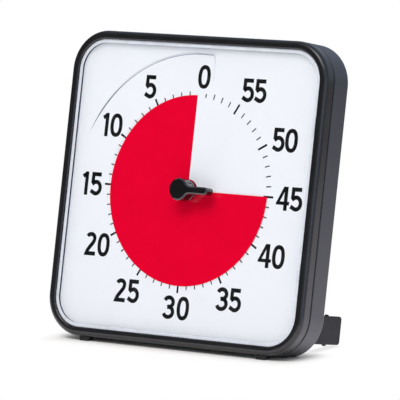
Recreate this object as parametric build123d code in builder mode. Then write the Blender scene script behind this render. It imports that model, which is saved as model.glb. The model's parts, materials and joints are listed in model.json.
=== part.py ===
from build123d import *
import os
from math import atan, cos, degrees, hypot, radians, sin, sqrt, tan

# Visual countdown timer: a square wall and desk timer whose red disc winds out of a slit in the dial.
#
# Every piece is modelled in the dial frame and stood up at the end.
# Dial frame: X to the right of someone reading the dial, Y up the dial, Z out of the dial towards them,
# origin where the timer shaft crosses the dial plane. Angles on the dial are clock angles, in degrees
# counter-clockwise from the zero mark at the top, the way the minutes run.

os.makedirs("parts", exist_ok=True)

# ---------------------------------------------------------------- driving dimensions, millimetres
# Case
case_width = 190.0
case_corner_radius = 24.6
bezel_face_width = 5.5
bezel_wall = 2.2
bezel_front_z = 5.0
lip_z = 3.5
parting_z = -3.6
parting_gap = 1.0
case_back_z = -20.0
shell_wall = 2.2
back_wall = 2.2
back_edge_radius = 1.6
tongue_wall = 1.8
tongue_depth = 4.0
fit_gap = 0.2
bezel_outer_roll = 3.0
bezel_inner_roll = 1.4
groove_edge_radius = 0.5

# Lens
lens_sheet = 1.2
lens_border = 2.2
lens_recess = 0.9
lens_hole_radius = 4.9
lens_collar_width = 1.4
lens_collar_height = 0.5
lens_step_draft = 20.0

# Dial card, red disc and the spiral they share
disc_radius = 58.6
disc_sheet = 0.2
card_sheet = 0.4
sheet_gap = 0.08
spiral_pitch = 1.6
slit_level_z = -0.6
slit_overrun = 1.4
set_minutes = 45.0
disc_cut_angle = 3.0
hub_radius = 6.2
hub_edge_grip = 0.15
hub_length = 2.1
hub_hole_gap = 0.7
hub_edge_bevel = 0.3
well_radius = 85.0
well_end_angle = 69.0
well_right_x = 10.4
well_corner_radius = 3.0
well_wall = 0.6
well_rib_depth = 0.85

# Dial chassis
chassis_sheet = 1.5
chassis_floor_z = -2.8
chassis_rib = 1.6
chassis_rib_count = 16
chassis_rib_length = 50.0
well_clear_angle = 12.0
disc_pocket_gap = 2.4

# Knob
knob_head_radius = 6.8
knob_front_z = 12.3
knob_base_z = 4.5
knob_arm_reach = 21.6
knob_arm_width = 4.6
knob_arm_depth = 7.0
knob_neck_radius = 4.0
knob_edge_bevel = 0.9
knob_stem_radius = 4.3
stem_end_z = 1.65

# Timer shaft and movement
shaft_radius = 1.5
shaft_flat = 1.1
shaft_tip_z = 9.5
shaft_collar_z = -10.4
shaft_collar_radius = 2.4
shaft_collar_sheet = 0.9
shaft_flange_radius = 2.2
clutch_radius = 5.0
clutch_sheet = 0.25
clutch_arm_count = 3
clutch_slot_ring = 3.7
clutch_slot_length = 2.5
clutch_slot_width = 1.25
pivot_radius = 0.8
running_gap = 0.05
movement_half_width = 29.5
movement_top_y = 22.5
movement_wall = 1.4
movement_sheet = 1.2
movement_rear_z = -15.4
cover_sheet = 1.0
bay_sheet = 0.8
bush_radius = 3.6
bush_reach = 1.4
ear_x = 34.0
ear_low_y = -26.0
ear_high_y = 14.0
ear_radius = 3.0
ear_screw_radius = 1.1
ear_head_radius = 2.2
ear_head_height = 1.1
movement_corner_radius = 2.0

# Gear train: tooth counts and modules, and where each arbor stands round the one before it. Tooth sizes
# are in modules.
centre_teeth = 64
third_teeth = 60
fourth_teeth = 40
idler_teeth = 48
pinion_teeth = 8
centre_module = 0.30
third_module = 0.25
fourth_module = 0.25
idler_module = 0.22
third_bearing = 150.0
fourth_bearing = 100.0
idler_bearing = 0.0
rotor_bearing = -10.0
arbor_radius = 0.40
tooth_height = 0.8
tooth_depth = 1.15
tooth_tip_width = 0.56
tooth_root_width = 1.24
tooth_sink = 0.2
wheel_hole_count = 5
wheel_hole_ring = 6.4
wheel_hole_radius = 1.75
wheel_sheet = 0.9
pinion_overlap = 0.4
pivot_depth = 0.6
centre_wheel_z = -8.4
third_wheel_z = -10.5
fourth_wheel_z = -13.1
idler_wheel_z = -14.9
rotor_magnet_radius = 2.6
rotor_magnet_length = 3.2

# Stepping motor
stator_z = -11.6
stator_sheet = 0.6
stator_gap = 0.6
stator_ring_radius = 4.3
stator_post_radius = 1.1
core_width = 3.0
core_end_x = 26.0
core_tail = 3.0
coil_length = 13.5
bobbin_radius = 2.0
flange_radius = 3.4
flange_sheet = 0.6
winding_radius = 3.0

# Battery, AA size
battery_radius = 7.1
battery_length = 49.2
battery_nub_radius = 2.75
battery_nub_length = 1.3
battery_y = -45.5
battery_play = 0.8
battery_rest = 0.15
contact_sheet = 0.4
contact_width = 9.0
contact_gap = 0.1
contact_notch = 1.2
contact_tail = 3.0
contact_tail_reach = 13.5
battery_edge_radius = 0.6
spring_wire = 0.35
spring_turns = 3.5
spring_length = 4.1
spring_end_gap = 0.25
spring_radius = 2.6

# Battery door
door_half_width = 29.7
door_height = 20.4
door_sheet = 1.5
door_gap = 0.3
door_pin_radius = 0.5
door_pin_length = 1.2
door_skin = 1.5
door_corner_radius = 1.5
door_round_flat = 0.05
door_notch_length = 10.0
door_notch_width = 4.0
door_notch_depth = 0.75
door_rest_gap = 0.1

# Fold-out rear legs
leg_inset = 21.0
leg_pin_z = -18.1
leg_pin_radius = 0.9
leg_barrel_radius = 1.9
leg_sheet = 3.0
leg_reach = 50.6
leg_height = 17.5
leg_rise_angle = 2.0
leg_corner_radius = 2.0
leg_edge_bevel = 0.5
leg_nub_radius = 0.9
leg_nub_setback = 15.3
leg_gap = 0.3
leg_skin = 1.5
leg_scoop_radius = 4.5
leg_scoop_depth = 2.5
leg_pin_grip = 1.5

# Front feet
foot_corner_inset = 4.4
foot_width = 7.5
foot_length = 5.0
foot_height = 2.4
foot_z = -0.6
foot_peg_radius = 1.6
foot_peg_length = 1.6
foot_corner_radius = 1.0
foot_draft = 4.0

# Case screws, wall hanger, alert slider, sounder
screw_side_inset = 17.0
screw_end_inset = 41.0
screw_radius = 1.25
screw_grip = 5.0
screw_head_radius = 2.5
screw_head_height = 1.8
screw_head_sink = 5.0
screw_head_edge = 0.6
boss_radius = 4.4
post_joint_z = -10.0
hanger_inset = 29.0
hanger_hole_radius = 4.5
hanger_slot_radius = 2.3
hanger_slot_rise = 9.0
hanger_pocket_depth = 5.0
hanger_skin = 1.5
hanger_side_gap = 0.8
slider_x = 16.0
slider_y = -28.0
slider_travel = 3.0
slider_cap = 4.4
slider_stem = 3.4
slider_stem_height = 2.0
slider_cap_corner = 0.6
slider_groove = 0.5
slider_groove_pitch = 1.1
switch_window_gap = 0.4
switch_length = 8.6
switch_width = 3.6
switch_height = 0.7
slider_sink = 1.2
sounder_x = 18.0
sounder_y = -8.0
sounder_radius = 6.0
sounder_height = 5.6
sound_hole_radius = 0.8
sound_hole_ring = 3.2
sounder_edge_radius = 0.5
sounder_port_depth = 1.9

# Circuit board
board_sheet = 1.0
board_front_z = -14.0
board_left_x = 4.0
board_bottom_gap = 0.4
board_top_y = 4.5
board_post_radius = 1.5
board_post_inset = 2.2
crystal_radius = 1.0
crystal_length = 6.0
crystal_x = 8.6
crystal_y = -26.0
chip_side = 6.0
chip_height = 1.1
chip_x = 17.0
chip_y = -22.5
chip_draft = 8.0

# Stance on the desk
lean_angle = 11.2

# ---------------------------------------------------------------- values worked out from the above
case_half = case_width / 2
foot_x = case_half - case_corner_radius - foot_corner_inset
leg_plane_x = case_half - leg_inset
screw_x = case_half - screw_side_inset
screw_y = case_half - screw_end_inset
hanger_y = case_half - hanger_inset
opening_half = case_half - bezel_face_width
opening_corner = case_corner_radius - bezel_face_width
bezel_inside_half = case_half - bezel_wall
bezel_inside_corner = case_corner_radius - bezel_wall
tongue_half = bezel_inside_half - fit_gap
tongue_corner = bezel_inside_corner - fit_gap
frame_half = tongue_half - tongue_wall - fit_gap
frame_corner = tongue_corner - tongue_wall - fit_gap
lens_back_z = lip_z - lens_recess - lens_sheet
lens_border_back_z = lip_z - lens_sheet
step_half = opening_half - lens_border
step_corner = opening_corner - lens_border
back_inside_z = case_back_z + back_wall
shell_front_z = parting_z - parting_gap

mesh_level = (card_sheet + disc_sheet) / 2 + sheet_gap
card_level_z = slit_level_z + mesh_level
card_back_z = card_level_z - card_sheet / 2
ramp_end_angle = 2 * mesh_level / spiral_pitch * 360
set_angle = set_minutes * 6
disc_start_angle = set_angle - 360 + disc_cut_angle
disc_inner_radius = hub_radius - hub_edge_grip
card_hub_hole = hub_radius + hub_hole_gap
pocket_radius = disc_radius + disc_pocket_gap
chassis_back_z = chassis_floor_z - chassis_sheet

battery_z = chassis_floor_z - bay_sheet - battery_rest - battery_radius
bay_top_y = battery_y + battery_radius + battery_play
bay_bottom_y = battery_y - battery_radius - battery_play
bay_floor_z = chassis_floor_z - bay_sheet
movement_bottom_y = bay_bottom_y - movement_wall
inside_half_width = movement_half_width - movement_wall
partition_y = bay_top_y + movement_wall
movement_front_z = chassis_back_z
floor_back_z = movement_front_z - movement_sheet
cover_back_z = movement_rear_z - cover_sheet

leg_outer_x = leg_plane_x + leg_barrel_radius
leg_tip_z = leg_pin_z - leg_reach


def clock(angle, radius):
    """Point on the dial at a clock angle."""
    return (-radius * sin(radians(angle)), radius * cos(radians(angle)))


def spiral_level(angle):
    """Height of the middle of the red disc at a clock angle."""
    return slit_level_z + spiral_pitch * angle / 360


def at_level(z):
    """Plane parallel to the dial."""
    return Plane.XY.offset(z)


def bearing(start, angle, distance):
    """Place of an arbor, going from another arbor at an angle from the X axis."""
    return (start[0] + distance * cos(radians(angle)), start[1] + distance * sin(radians(angle)))


def toothed_face(teeth, module, phase):
    """Wheel or pinion outline with one tooth pointing at the phase angle."""
    pitch_radius = module * teeth / 2
    root_radius = pitch_radius - tooth_depth * module
    tip_radius = pitch_radius + tooth_height * module
    sunk_radius = root_radius - tooth_sink * module
    root_half = tooth_root_width * module / 2
    tip_half = tooth_tip_width * module / 2
    Circle(root_radius)
    with PolarLocations(0, teeth, start_angle=phase):
        Polygon(
            (sunk_radius, -root_half),
            (tip_radius, -tip_half),
            (tip_radius, tip_half),
            (sunk_radius, root_half),
            align=None,
        )


def spiral_sheet(start_angle, end_angle, inner_radius, outer_radius, level, rise, sheet, rib_depth=0):
    """Sheet that climbs steadily round the shaft from one clock angle to another, with or without a rib
    behind its inner edge."""
    turn = end_angle - start_angle
    middle = (inner_radius + outer_radius) / 2
    with BuildPart() as spiral:
        with BuildLine() as path:
            Helix(pitch=rise * 360 / turn, height=rise, radius=middle)
        with BuildSketch(Plane(origin=(middle, 0, 0), x_dir=(1, 0, 0), z_dir=(0, 1, 0))):
            Rectangle(outer_radius - inner_radius, sheet)
            if rib_depth > 0:
                with Locations((inner_radius + well_wall / 2 - middle, (rib_depth - sheet) / 2)):
                    Rectangle(well_wall, rib_depth)
        sweep(path=path.wires()[0], is_frenet=True)
    return Pos(0, 0, level) * Rot(0, 0, 90 + start_angle) * spiral.part


# ---------------------------------------------------------------- bezel
# A square ring with a rolled front. Its flange hooks over the lens, its wall slips over the shell's tongue.
with BuildPart() as front_bezel:
    with BuildSketch(at_level(parting_z)):
        RectangleRounded(case_width, case_width, case_corner_radius)
    extrude(amount=bezel_front_z - parting_z)
    with BuildSketch(at_level(parting_z)):
        RectangleRounded(2 * opening_half, 2 * opening_half, opening_corner)
    extrude(amount=bezel_front_z - parting_z, mode=Mode.SUBTRACT)
    with BuildSketch(at_level(parting_z)):
        RectangleRounded(2 * bezel_inside_half, 2 * bezel_inside_half, bezel_inside_corner)
    extrude(amount=lip_z - parting_z, mode=Mode.SUBTRACT)
    front_wires = front_bezel.faces().sort_by(Axis.Z)[-1].wires().sort_by(SortBy.LENGTH)
    fillet(front_wires[-1].edges(), bezel_outer_roll)
    front_wires = front_bezel.faces().sort_by(Axis.Z)[-1].wires().sort_by(SortBy.LENGTH)
    fillet(front_wires[0].edges(), bezel_inner_roll)
    rear_wires = front_bezel.faces().sort_by(Axis.Z)[0].wires().sort_by(SortBy.LENGTH)
    fillet(rear_wires[-1].edges(), groove_edge_radius)
    foot_sockets = Plane(origin=(0, -case_half, foot_z), x_dir=(1, 0, 0), z_dir=(0, -1, 0))
    with BuildSketch(foot_sockets):
        with Locations((-foot_x, 0), (foot_x, 0)):
            Circle(foot_peg_radius)
    extrude(amount=-bezel_wall, mode=Mode.SUBTRACT)
front_bezel.part.label = "front_bezel"

# ---------------------------------------------------------------- lens
# Clear moulded window: a border trapped under the bezel, a step, and a recessed pane with a collared hole.
with BuildPart() as clear_lens:
    with BuildSketch(at_level(lens_border_back_z)):
        RectangleRounded(2 * tongue_half, 2 * tongue_half, tongue_corner)
    extrude(amount=lens_sheet)
    with BuildSketch(at_level(lens_back_z)):
        RectangleRounded(
            2 * (step_half + lens_sheet), 2 * (step_half + lens_sheet), step_corner + lens_sheet
        )
    extrude(amount=lens_sheet)
    with BuildSketch(at_level(lip_z - lens_recess)):
        RectangleRounded(2 * step_half, 2 * step_half, step_corner)
    extrude(amount=lens_recess, mode=Mode.SUBTRACT, taper=-lens_step_draft)
    with BuildSketch(at_level(lip_z - lens_recess)):
        Circle(lens_hole_radius + lens_collar_width)
    extrude(amount=lens_collar_height)
    with BuildSketch(at_level(lens_back_z)):
        Circle(lens_hole_radius)
    extrude(amount=lens_sheet + lens_collar_height, mode=Mode.SUBTRACT)
clear_lens.part.label = "clear_lens"

# ---------------------------------------------------------------- dial card
# White moulded sheet. Left of the slit it drops as a spiral ramp under the red disc. A well round the ramp
# starts level with it, climbs faster, and fades out after about eleven minutes of the scale.
ramp_outer_radius = disc_radius + slit_overrun
well_depth = 2 * mesh_level
card_ramp = spiral_sheet(
    0,
    ramp_end_angle,
    card_hub_hole,
    ramp_outer_radius + well_wall / 2,
    slit_level_z - mesh_level,
    2 * mesh_level,
    card_sheet,
)
well_ramp = spiral_sheet(
    0,
    well_end_angle,
    ramp_outer_radius,
    well_radius + well_wall / 2,
    card_level_z - well_depth,
    well_depth,
    card_sheet,
    well_rib_depth,
)


def sector(start_angle, end_angle, inner_radius, outer_radius):
    """Slice of a ring between two clock angles; call inside a BuildSketch."""
    turn = end_angle - start_angle
    with BuildLine() as outline:
        CenterArc((0, 0), outer_radius, 90 + start_angle, turn)
        Line(clock(end_angle, outer_radius), clock(end_angle, inner_radius))
        CenterArc((0, 0), inner_radius, 90 + end_angle, -turn)
        Line(clock(start_angle, inner_radius), clock(start_angle, outer_radius))
    make_face(outline.edges())


def well_end(grow):
    """Level end of the well, right of the zero mark; call inside a BuildSketch."""
    right_x = well_right_x + grow
    arc_radius = well_radius + grow
    low_y = ramp_outer_radius + well_wall - grow
    high_y = sqrt(arc_radius**2 - right_x**2)
    right_angle = degrees(atan(high_y / right_x))
    with BuildLine() as outline:
        Line((0, arc_radius), (0, low_y))
        FilletPolyline((0, low_y), (right_x, low_y), (right_x, high_y), radius=well_corner_radius + grow)
        CenterArc((0, 0), arc_radius, right_angle, 90 - right_angle)
    make_face(outline.edges())


well_floor_back_z = card_level_z - well_depth - card_sheet / 2
card_front_z = card_level_z + card_sheet / 2
ramp_wall_radius = ramp_outer_radius + well_wall
with BuildPart() as dial_card:
    with BuildSketch(at_level(card_back_z)):
        RectangleRounded(2 * frame_half, 2 * frame_half, frame_corner)
        Circle(card_hub_hole, mode=Mode.SUBTRACT)
    extrude(amount=card_sheet)
    with BuildSketch(at_level(card_back_z)):
        sector(0, ramp_end_angle, card_hub_hole - hub_hole_gap, ramp_outer_radius)
    extrude(amount=card_sheet, mode=Mode.SUBTRACT)
    with BuildSketch(at_level(card_back_z)):
        sector(0, well_end_angle, ramp_outer_radius, well_radius)
        well_end(0)
    extrude(amount=card_sheet, mode=Mode.SUBTRACT)
    with BuildSketch(at_level(well_floor_back_z)):
        well_end(well_wall)
        sector(0, well_end_angle, well_radius, well_radius + well_wall)
    extrude(amount=card_front_z - well_floor_back_z)
    with BuildSketch(at_level(well_floor_back_z + card_sheet)):
        well_end(0)
    extrude(amount=card_front_z - well_floor_back_z - card_sheet, mode=Mode.SUBTRACT)
    with BuildSketch(at_level(card_front_z - well_rib_depth)):
        sector(well_end_angle, ramp_end_angle, ramp_outer_radius, ramp_wall_radius)
    extrude(amount=well_rib_depth)
    add(card_ramp)
    add(well_ramp)
dial_card.part.label = "dial_card"


# ---------------------------------------------------------------- dial chassis
# Black moulded tray behind the card: a round well for the hidden part of the disc, ribs, and four posts.
battery_window_height = partition_y - movement_bottom_y + 2 * fit_gap
battery_window_y = (partition_y + movement_bottom_y) / 2
post_places = [(x, y) for x in (-screw_x, screw_x) for y in (-screw_y, screw_y)]
ear_places = [(x, y) for x in (-ear_x, ear_x) for y in (ear_low_y, ear_high_y)]
with BuildPart() as dial_chassis:
    with BuildSketch(at_level(chassis_back_z)):
        RectangleRounded(2 * frame_half, 2 * frame_half, frame_corner)
    extrude(amount=card_back_z - chassis_back_z)
    with BuildSketch(at_level(chassis_floor_z)):
        RectangleRounded(
            2 * (frame_half - chassis_rib), 2 * (frame_half - chassis_rib), frame_corner - chassis_rib
        )
        Circle(pocket_radius + chassis_rib, mode=Mode.SUBTRACT)
    extrude(amount=card_back_z - chassis_floor_z, mode=Mode.SUBTRACT)
    with BuildSketch(at_level(chassis_floor_z)):
        Circle(pocket_radius)
    extrude(amount=card_back_z - chassis_floor_z, mode=Mode.SUBTRACT)
    with BuildSketch(at_level(chassis_floor_z)):
        with PolarLocations(0, chassis_rib_count, start_angle=180 / chassis_rib_count):
            with Locations((pocket_radius + chassis_rib_length / 2, 0)):
                Rectangle(chassis_rib_length, chassis_rib)
        RectangleRounded(2 * frame_half, 2 * frame_half, frame_corner, mode=Mode.INTERSECT)
    extrude(amount=card_back_z - chassis_floor_z)
    with BuildSketch(at_level(chassis_floor_z)):
        sector(
            -well_clear_angle, well_end_angle + well_clear_angle, disc_radius, well_radius + 2 * well_wall
        )
    extrude(amount=card_back_z - chassis_floor_z, mode=Mode.SUBTRACT)
    with BuildSketch(at_level(chassis_back_z)):
        with Locations((0, battery_window_y)):
            Rectangle(2 * (movement_half_width + fit_gap), battery_window_height)
        Circle(bush_radius + fit_gap)
        with Locations(*ear_places):
            Circle(ear_screw_radius)
    extrude(amount=chassis_sheet, mode=Mode.SUBTRACT)
    with BuildSketch(at_level(post_joint_z)):
        with Locations(*post_places):
            Circle(boss_radius)
    extrude(amount=chassis_back_z - post_joint_z)
    with BuildSketch(at_level(post_joint_z)):
        with Locations(*post_places):
            Circle(screw_radius)
    extrude(amount=screw_grip, mode=Mode.SUBTRACT)
dial_chassis.part.label = "dial_chassis"

# ---------------------------------------------------------------- red disc and its hub
# One turn of thin sheet, cut along a radius. The shown part lies over the card and the rest passes down
# through the slit and lies behind it.
disc_turn = set_angle - disc_start_angle
with BuildPart() as red_disc:
    add(
        spiral_sheet(
            disc_start_angle,
            set_angle,
            disc_inner_radius,
            disc_radius,
            spiral_level(disc_start_angle),
            spiral_pitch * disc_turn / 360,
            disc_sheet,
        )
    )
red_disc.part.label = "red_disc"


def flatted_circle(radius, flat):
    """Shaft outline with one flat; call inside a BuildSketch."""
    Circle(radius)
    with Locations((0, flat + radius)):
        Rectangle(2 * radius, 2 * radius, mode=Mode.SUBTRACT)


hub_middle_z = spiral_level((disc_start_angle + set_angle) / 2)
with BuildPart() as disc_hub:
    with BuildSketch(at_level(hub_middle_z - hub_length / 2)):
        Circle(hub_radius)
    extrude(amount=hub_length)
    chamfer(disc_hub.edges().group_by(Axis.Z)[-1], hub_edge_bevel)
    with BuildSketch(at_level(hub_middle_z - hub_length / 2)):
        flatted_circle(shaft_radius + running_gap, shaft_flat + running_gap)
    extrude(amount=hub_length, mode=Mode.SUBTRACT)
disc_hub.part.label = "disc_hub"

# ---------------------------------------------------------------- knob
# Keyhole shape: a round head on the shaft and an arm that points at the edge of the disc.
arm_plane = Plane(origin=(0, 0, 0), x_dir=(*clock(set_angle, 1), 0), z_dir=(0, 0, 1))
with BuildPart() as knob:
    with BuildSketch(arm_plane.offset(knob_front_z - knob_arm_depth)):
        Circle(knob_head_radius)
        arm_middle = (knob_arm_reach - knob_arm_width / 2) / 2
        with Locations((arm_middle, 0)):
            SlotCenterToCenter(2 * arm_middle, knob_arm_width)
    extrude(amount=knob_arm_depth)
    neck_edges = knob.edges().filter_by(Axis.Z).filter_by(
        lambda edge: abs(hypot(edge.center().X, edge.center().Y) - knob_head_radius) < 0.01
    )
    fillet(neck_edges, knob_neck_radius)
    chamfer(knob.faces().sort_by(Axis.Z)[-1].edges(), knob_edge_bevel)
    with BuildSketch(at_level(knob_base_z)):
        Circle(knob_head_radius)
    extrude(amount=knob_front_z - knob_arm_depth - knob_base_z)
    with BuildSketch(at_level(stem_end_z)):
        Circle(knob_stem_radius)
    extrude(amount=knob_base_z - stem_end_z)
    with BuildSketch(at_level(stem_end_z)):
        flatted_circle(shaft_radius, shaft_flat)
    extrude(amount=shaft_tip_z - stem_end_z, mode=Mode.SUBTRACT)
knob.part.label = "knob"

# ---------------------------------------------------------------- timer shaft and slip clutch
pivot_end_z = movement_rear_z - cover_sheet
with BuildPart() as timer_shaft:
    with BuildSketch(at_level(pivot_end_z)):
        Circle(pivot_radius)
    extrude(amount=shaft_collar_z - pivot_end_z)
    with BuildSketch(at_level(shaft_collar_z)):
        Circle(shaft_collar_radius)
    extrude(amount=shaft_collar_sheet)
    with BuildSketch(at_level(shaft_collar_z)):
        Circle(shaft_radius)
    extrude(amount=shaft_tip_z - shaft_collar_z)
    with BuildSketch(at_level(centre_wheel_z + wheel_sheet + 2 * running_gap)):
        Circle(shaft_flange_radius)
    extrude(amount=floor_back_z - centre_wheel_z - wheel_sheet - 4 * running_gap)
    flat_low_z = movement_front_z + bush_reach
    with BuildSketch(at_level(flat_low_z)):
        with Locations((0, shaft_flat + shaft_radius)):
            Rectangle(2 * shaft_radius, 2 * shaft_radius)
    extrude(amount=shaft_tip_z - flat_low_z, mode=Mode.SUBTRACT)
timer_shaft.part.label = "timer_shaft"

clutch_low_z = shaft_collar_z + shaft_collar_sheet
with BuildPart() as clutch_spring:
    with BuildSketch(Plane.XZ):
        with BuildLine():
            Polyline(
                (shaft_radius, clutch_low_z),
                (clutch_radius, centre_wheel_z - 2 * running_gap - clutch_sheet),
                (clutch_radius, centre_wheel_z - 2 * running_gap),
                (shaft_radius, clutch_low_z + clutch_sheet),
                close=True,
            )
        make_face()
    revolve(axis=Axis.Z)
    with BuildSketch(at_level(clutch_low_z)):
        with PolarLocations(clutch_slot_ring, clutch_arm_count):
            SlotCenterToCenter(clutch_slot_length, clutch_slot_width, rotation=90)
    extrude(amount=centre_wheel_z - clutch_low_z, mode=Mode.SUBTRACT)
clutch_spring.part.label = "clutch_spring"

# ---------------------------------------------------------------- gear train
third_place = bearing((0, 0), third_bearing, centre_module * (centre_teeth + pinion_teeth) / 2)
fourth_place = bearing(third_place, fourth_bearing, third_module * (third_teeth + pinion_teeth) / 2)
idler_place = bearing(fourth_place, idler_bearing, fourth_module * (fourth_teeth + pinion_teeth) / 2)
rotor_place = bearing(idler_place, rotor_bearing, idler_module * (idler_teeth + pinion_teeth) / 2)
half_pinion_tooth = 180 / pinion_teeth
arbor_front_z = floor_back_z + pivot_depth
arbor_rear_z = movement_rear_z - pivot_depth


def compound_wheel(place, pinion_module, pinion_z, to_driven, teeth, module, wheel_z, to_driver):
    """Pinion, wheel and arbor as one piece, in mesh with the wheels on either side of it."""
    with BuildPart() as compound:
        with BuildSketch(Plane(origin=(*place, pinion_z - pinion_overlap))):
            toothed_face(pinion_teeth, pinion_module, to_driven + 180 + half_pinion_tooth)
        extrude(amount=wheel_sheet + 2 * pinion_overlap)
        with BuildSketch(Plane(origin=(*place, wheel_z))):
            toothed_face(teeth, module, to_driver)
        extrude(amount=wheel_sheet)
        with BuildSketch(Plane(origin=(*place, arbor_rear_z))):
            Circle(arbor_radius)
        extrude(amount=arbor_front_z - arbor_rear_z)
    return compound.part


with BuildPart() as centre_wheel:
    with BuildSketch(at_level(centre_wheel_z)):
        toothed_face(centre_teeth, centre_module, third_bearing)
        Circle(shaft_radius + running_gap, mode=Mode.SUBTRACT)
        with PolarLocations(wheel_hole_ring, wheel_hole_count):
            Circle(wheel_hole_radius, mode=Mode.SUBTRACT)
    extrude(amount=wheel_sheet)
centre_wheel.part.label = "centre_wheel"

with BuildPart() as third_wheel:
    add(
        compound_wheel(
            third_place, centre_module, centre_wheel_z, third_bearing,
            third_teeth, third_module, third_wheel_z, fourth_bearing,
        )
    )
third_wheel.part.label = "third_wheel"

with BuildPart() as fourth_wheel:
    add(
        compound_wheel(
            fourth_place, third_module, third_wheel_z, fourth_bearing,
            fourth_teeth, fourth_module, fourth_wheel_z, idler_bearing,
        )
    )
fourth_wheel.part.label = "fourth_wheel"

with BuildPart() as idler_wheel:
    add(
        compound_wheel(
            idler_place, fourth_module, fourth_wheel_z, idler_bearing,
            idler_teeth, idler_module, idler_wheel_z, rotor_bearing,
        )
    )
idler_wheel.part.label = "idler_wheel"

stator_middle_z = stator_z + stator_sheet / 2
with BuildPart() as rotor:
    with BuildSketch(Plane(origin=(*rotor_place, idler_wheel_z - pinion_overlap / 2))):
        toothed_face(pinion_teeth, idler_module, rotor_bearing + 180 + half_pinion_tooth)
    extrude(amount=wheel_sheet + pinion_overlap)
    with BuildSketch(Plane(origin=(*rotor_place, stator_middle_z - rotor_magnet_length / 2))):
        Circle(rotor_magnet_radius)
    extrude(amount=rotor_magnet_length)
    with BuildSketch(Plane(origin=(*rotor_place, arbor_rear_z))):
        Circle(arbor_radius)
    extrude(amount=arbor_front_z - arbor_rear_z)
rotor.part.label = "rotor"

# ---------------------------------------------------------------- stepping motor
with BuildPart() as stator:
    with BuildSketch(at_level(stator_z)):
        with Locations(rotor_place):
            Circle(stator_ring_radius)
        with Locations(((rotor_place[0] + core_end_x) / 2, rotor_place[1])):
            Rectangle(core_end_x - rotor_place[0], core_width)
        with Locations(rotor_place):
            Circle(rotor_magnet_radius + stator_gap, mode=Mode.SUBTRACT)
    extrude(amount=stator_sheet)
stator.part.label = "stator"

coil_start_x = core_end_x - core_tail - coil_length
coil_plane = Plane(origin=(coil_start_x, rotor_place[1], stator_middle_z), x_dir=(0, 1, 0), z_dir=(1, 0, 0))
with BuildPart() as coil_bobbin:
    with BuildSketch(coil_plane):
        Circle(bobbin_radius)
    extrude(amount=coil_length)
    with BuildSketch(coil_plane, coil_plane.offset(coil_length - flange_sheet)):
        Circle(flange_radius)
    extrude(amount=flange_sheet)
    with BuildSketch(coil_plane):
        Rectangle(core_width + running_gap, stator_sheet + running_gap)
    extrude(amount=coil_length, mode=Mode.SUBTRACT)
coil_bobbin.part.label = "coil_bobbin"

with BuildPart() as coil_winding:
    with BuildSketch(coil_plane.offset(flange_sheet)):
        Circle(winding_radius)
        Circle(bobbin_radius, mode=Mode.SUBTRACT)
    extrude(amount=coil_length - 2 * flange_sheet)
coil_winding.part.label = "coil_winding"

# ---------------------------------------------------------------- movement case
train_places = (third_place, fourth_place, idler_place, rotor_place)
gear_bay_height = movement_top_y - partition_y
gear_bay_y = (movement_top_y + partition_y) / 2
board_right_x = inside_half_width - contact_sheet - 3 * fit_gap
board_bottom_y = partition_y + board_bottom_gap
board_posts = (
    (board_right_x - board_post_inset, board_bottom_y + board_post_inset),
    (board_right_x - board_post_inset, board_top_y - board_post_inset),
    (board_left_x + board_post_inset, board_bottom_y + board_post_inset),
)
stator_posts = (
    (core_end_x - core_tail / 2, rotor_place[1]),
    ((rotor_place[0] + stator_ring_radius + coil_start_x) / 2, rotor_place[1]),
)
with BuildPart() as movement_base:
    with BuildSketch(at_level(movement_rear_z)):
        with Locations((0, (movement_top_y + bay_top_y) / 2)):
            Rectangle(2 * movement_half_width, movement_top_y - bay_top_y)
    extrude(amount=movement_front_z - movement_rear_z)
    with BuildSketch(at_level(movement_rear_z)):
        with Locations((0, battery_window_y)):
            Rectangle(2 * movement_half_width, partition_y - movement_bottom_y)
    extrude(amount=chassis_floor_z - movement_rear_z)
    vertical = movement_base.edges().filter_by(Axis.Z)
    fillet(vertical.group_by(Axis.Y)[-1] + vertical.group_by(Axis.Y)[0], movement_corner_radius)
    with BuildSketch(at_level(movement_rear_z)):
        with Locations((0, gear_bay_y - movement_wall / 2)):
            Rectangle(2 * inside_half_width, gear_bay_height - movement_wall)
    extrude(amount=floor_back_z - movement_rear_z, mode=Mode.SUBTRACT)
    with BuildSketch(at_level(movement_rear_z)):
        with Locations((0, battery_y)):
            Rectangle(2 * inside_half_width, bay_top_y - bay_bottom_y)
    extrude(amount=bay_floor_z - movement_rear_z, mode=Mode.SUBTRACT)
    with BuildSketch(at_level(floor_back_z)):
        for ear_place in ear_places:
            side = 1 if ear_place[0] > 0 else -1
            with Locations(((ear_place[0] + side * movement_half_width) / 2, ear_place[1])):
                Rectangle(ear_x - movement_half_width, 2 * ear_radius)
            with Locations(ear_place):
                Circle(ear_radius)
    extrude(amount=movement_sheet)
    with BuildSketch(at_level(movement_front_z)):
        Circle(bush_radius)
    extrude(amount=bush_reach)
    with BuildSketch(at_level(stator_z + stator_sheet)):
        with Locations(*stator_posts):
            Circle(stator_post_radius)
    extrude(amount=floor_back_z - stator_z - stator_sheet)
    with BuildSketch(at_level(board_front_z)):
        with Locations(*board_posts):
            Circle(board_post_radius)
    extrude(amount=floor_back_z - board_front_z)
    with BuildSketch(at_level(floor_back_z)):
        Circle(shaft_radius + running_gap)
        with Locations(*ear_places):
            Circle(ear_screw_radius)
    extrude(amount=movement_sheet + bush_reach, mode=Mode.SUBTRACT)
    with BuildSketch(at_level(floor_back_z)):
        with Locations(*train_places):
            Circle(arbor_radius + running_gap)
    extrude(amount=pivot_depth + fit_gap, mode=Mode.SUBTRACT)
    with BuildSketch(at_level(movement_rear_z)):
        for side in (-1, 1):
            with Locations((side * (inside_half_width - contact_notch / 2), bay_top_y + movement_wall / 2)):
                Rectangle(contact_notch, 2 * movement_wall)
    extrude(amount=contact_tail + fit_gap, mode=Mode.SUBTRACT)
movement_base.part.label = "movement_base"

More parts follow.
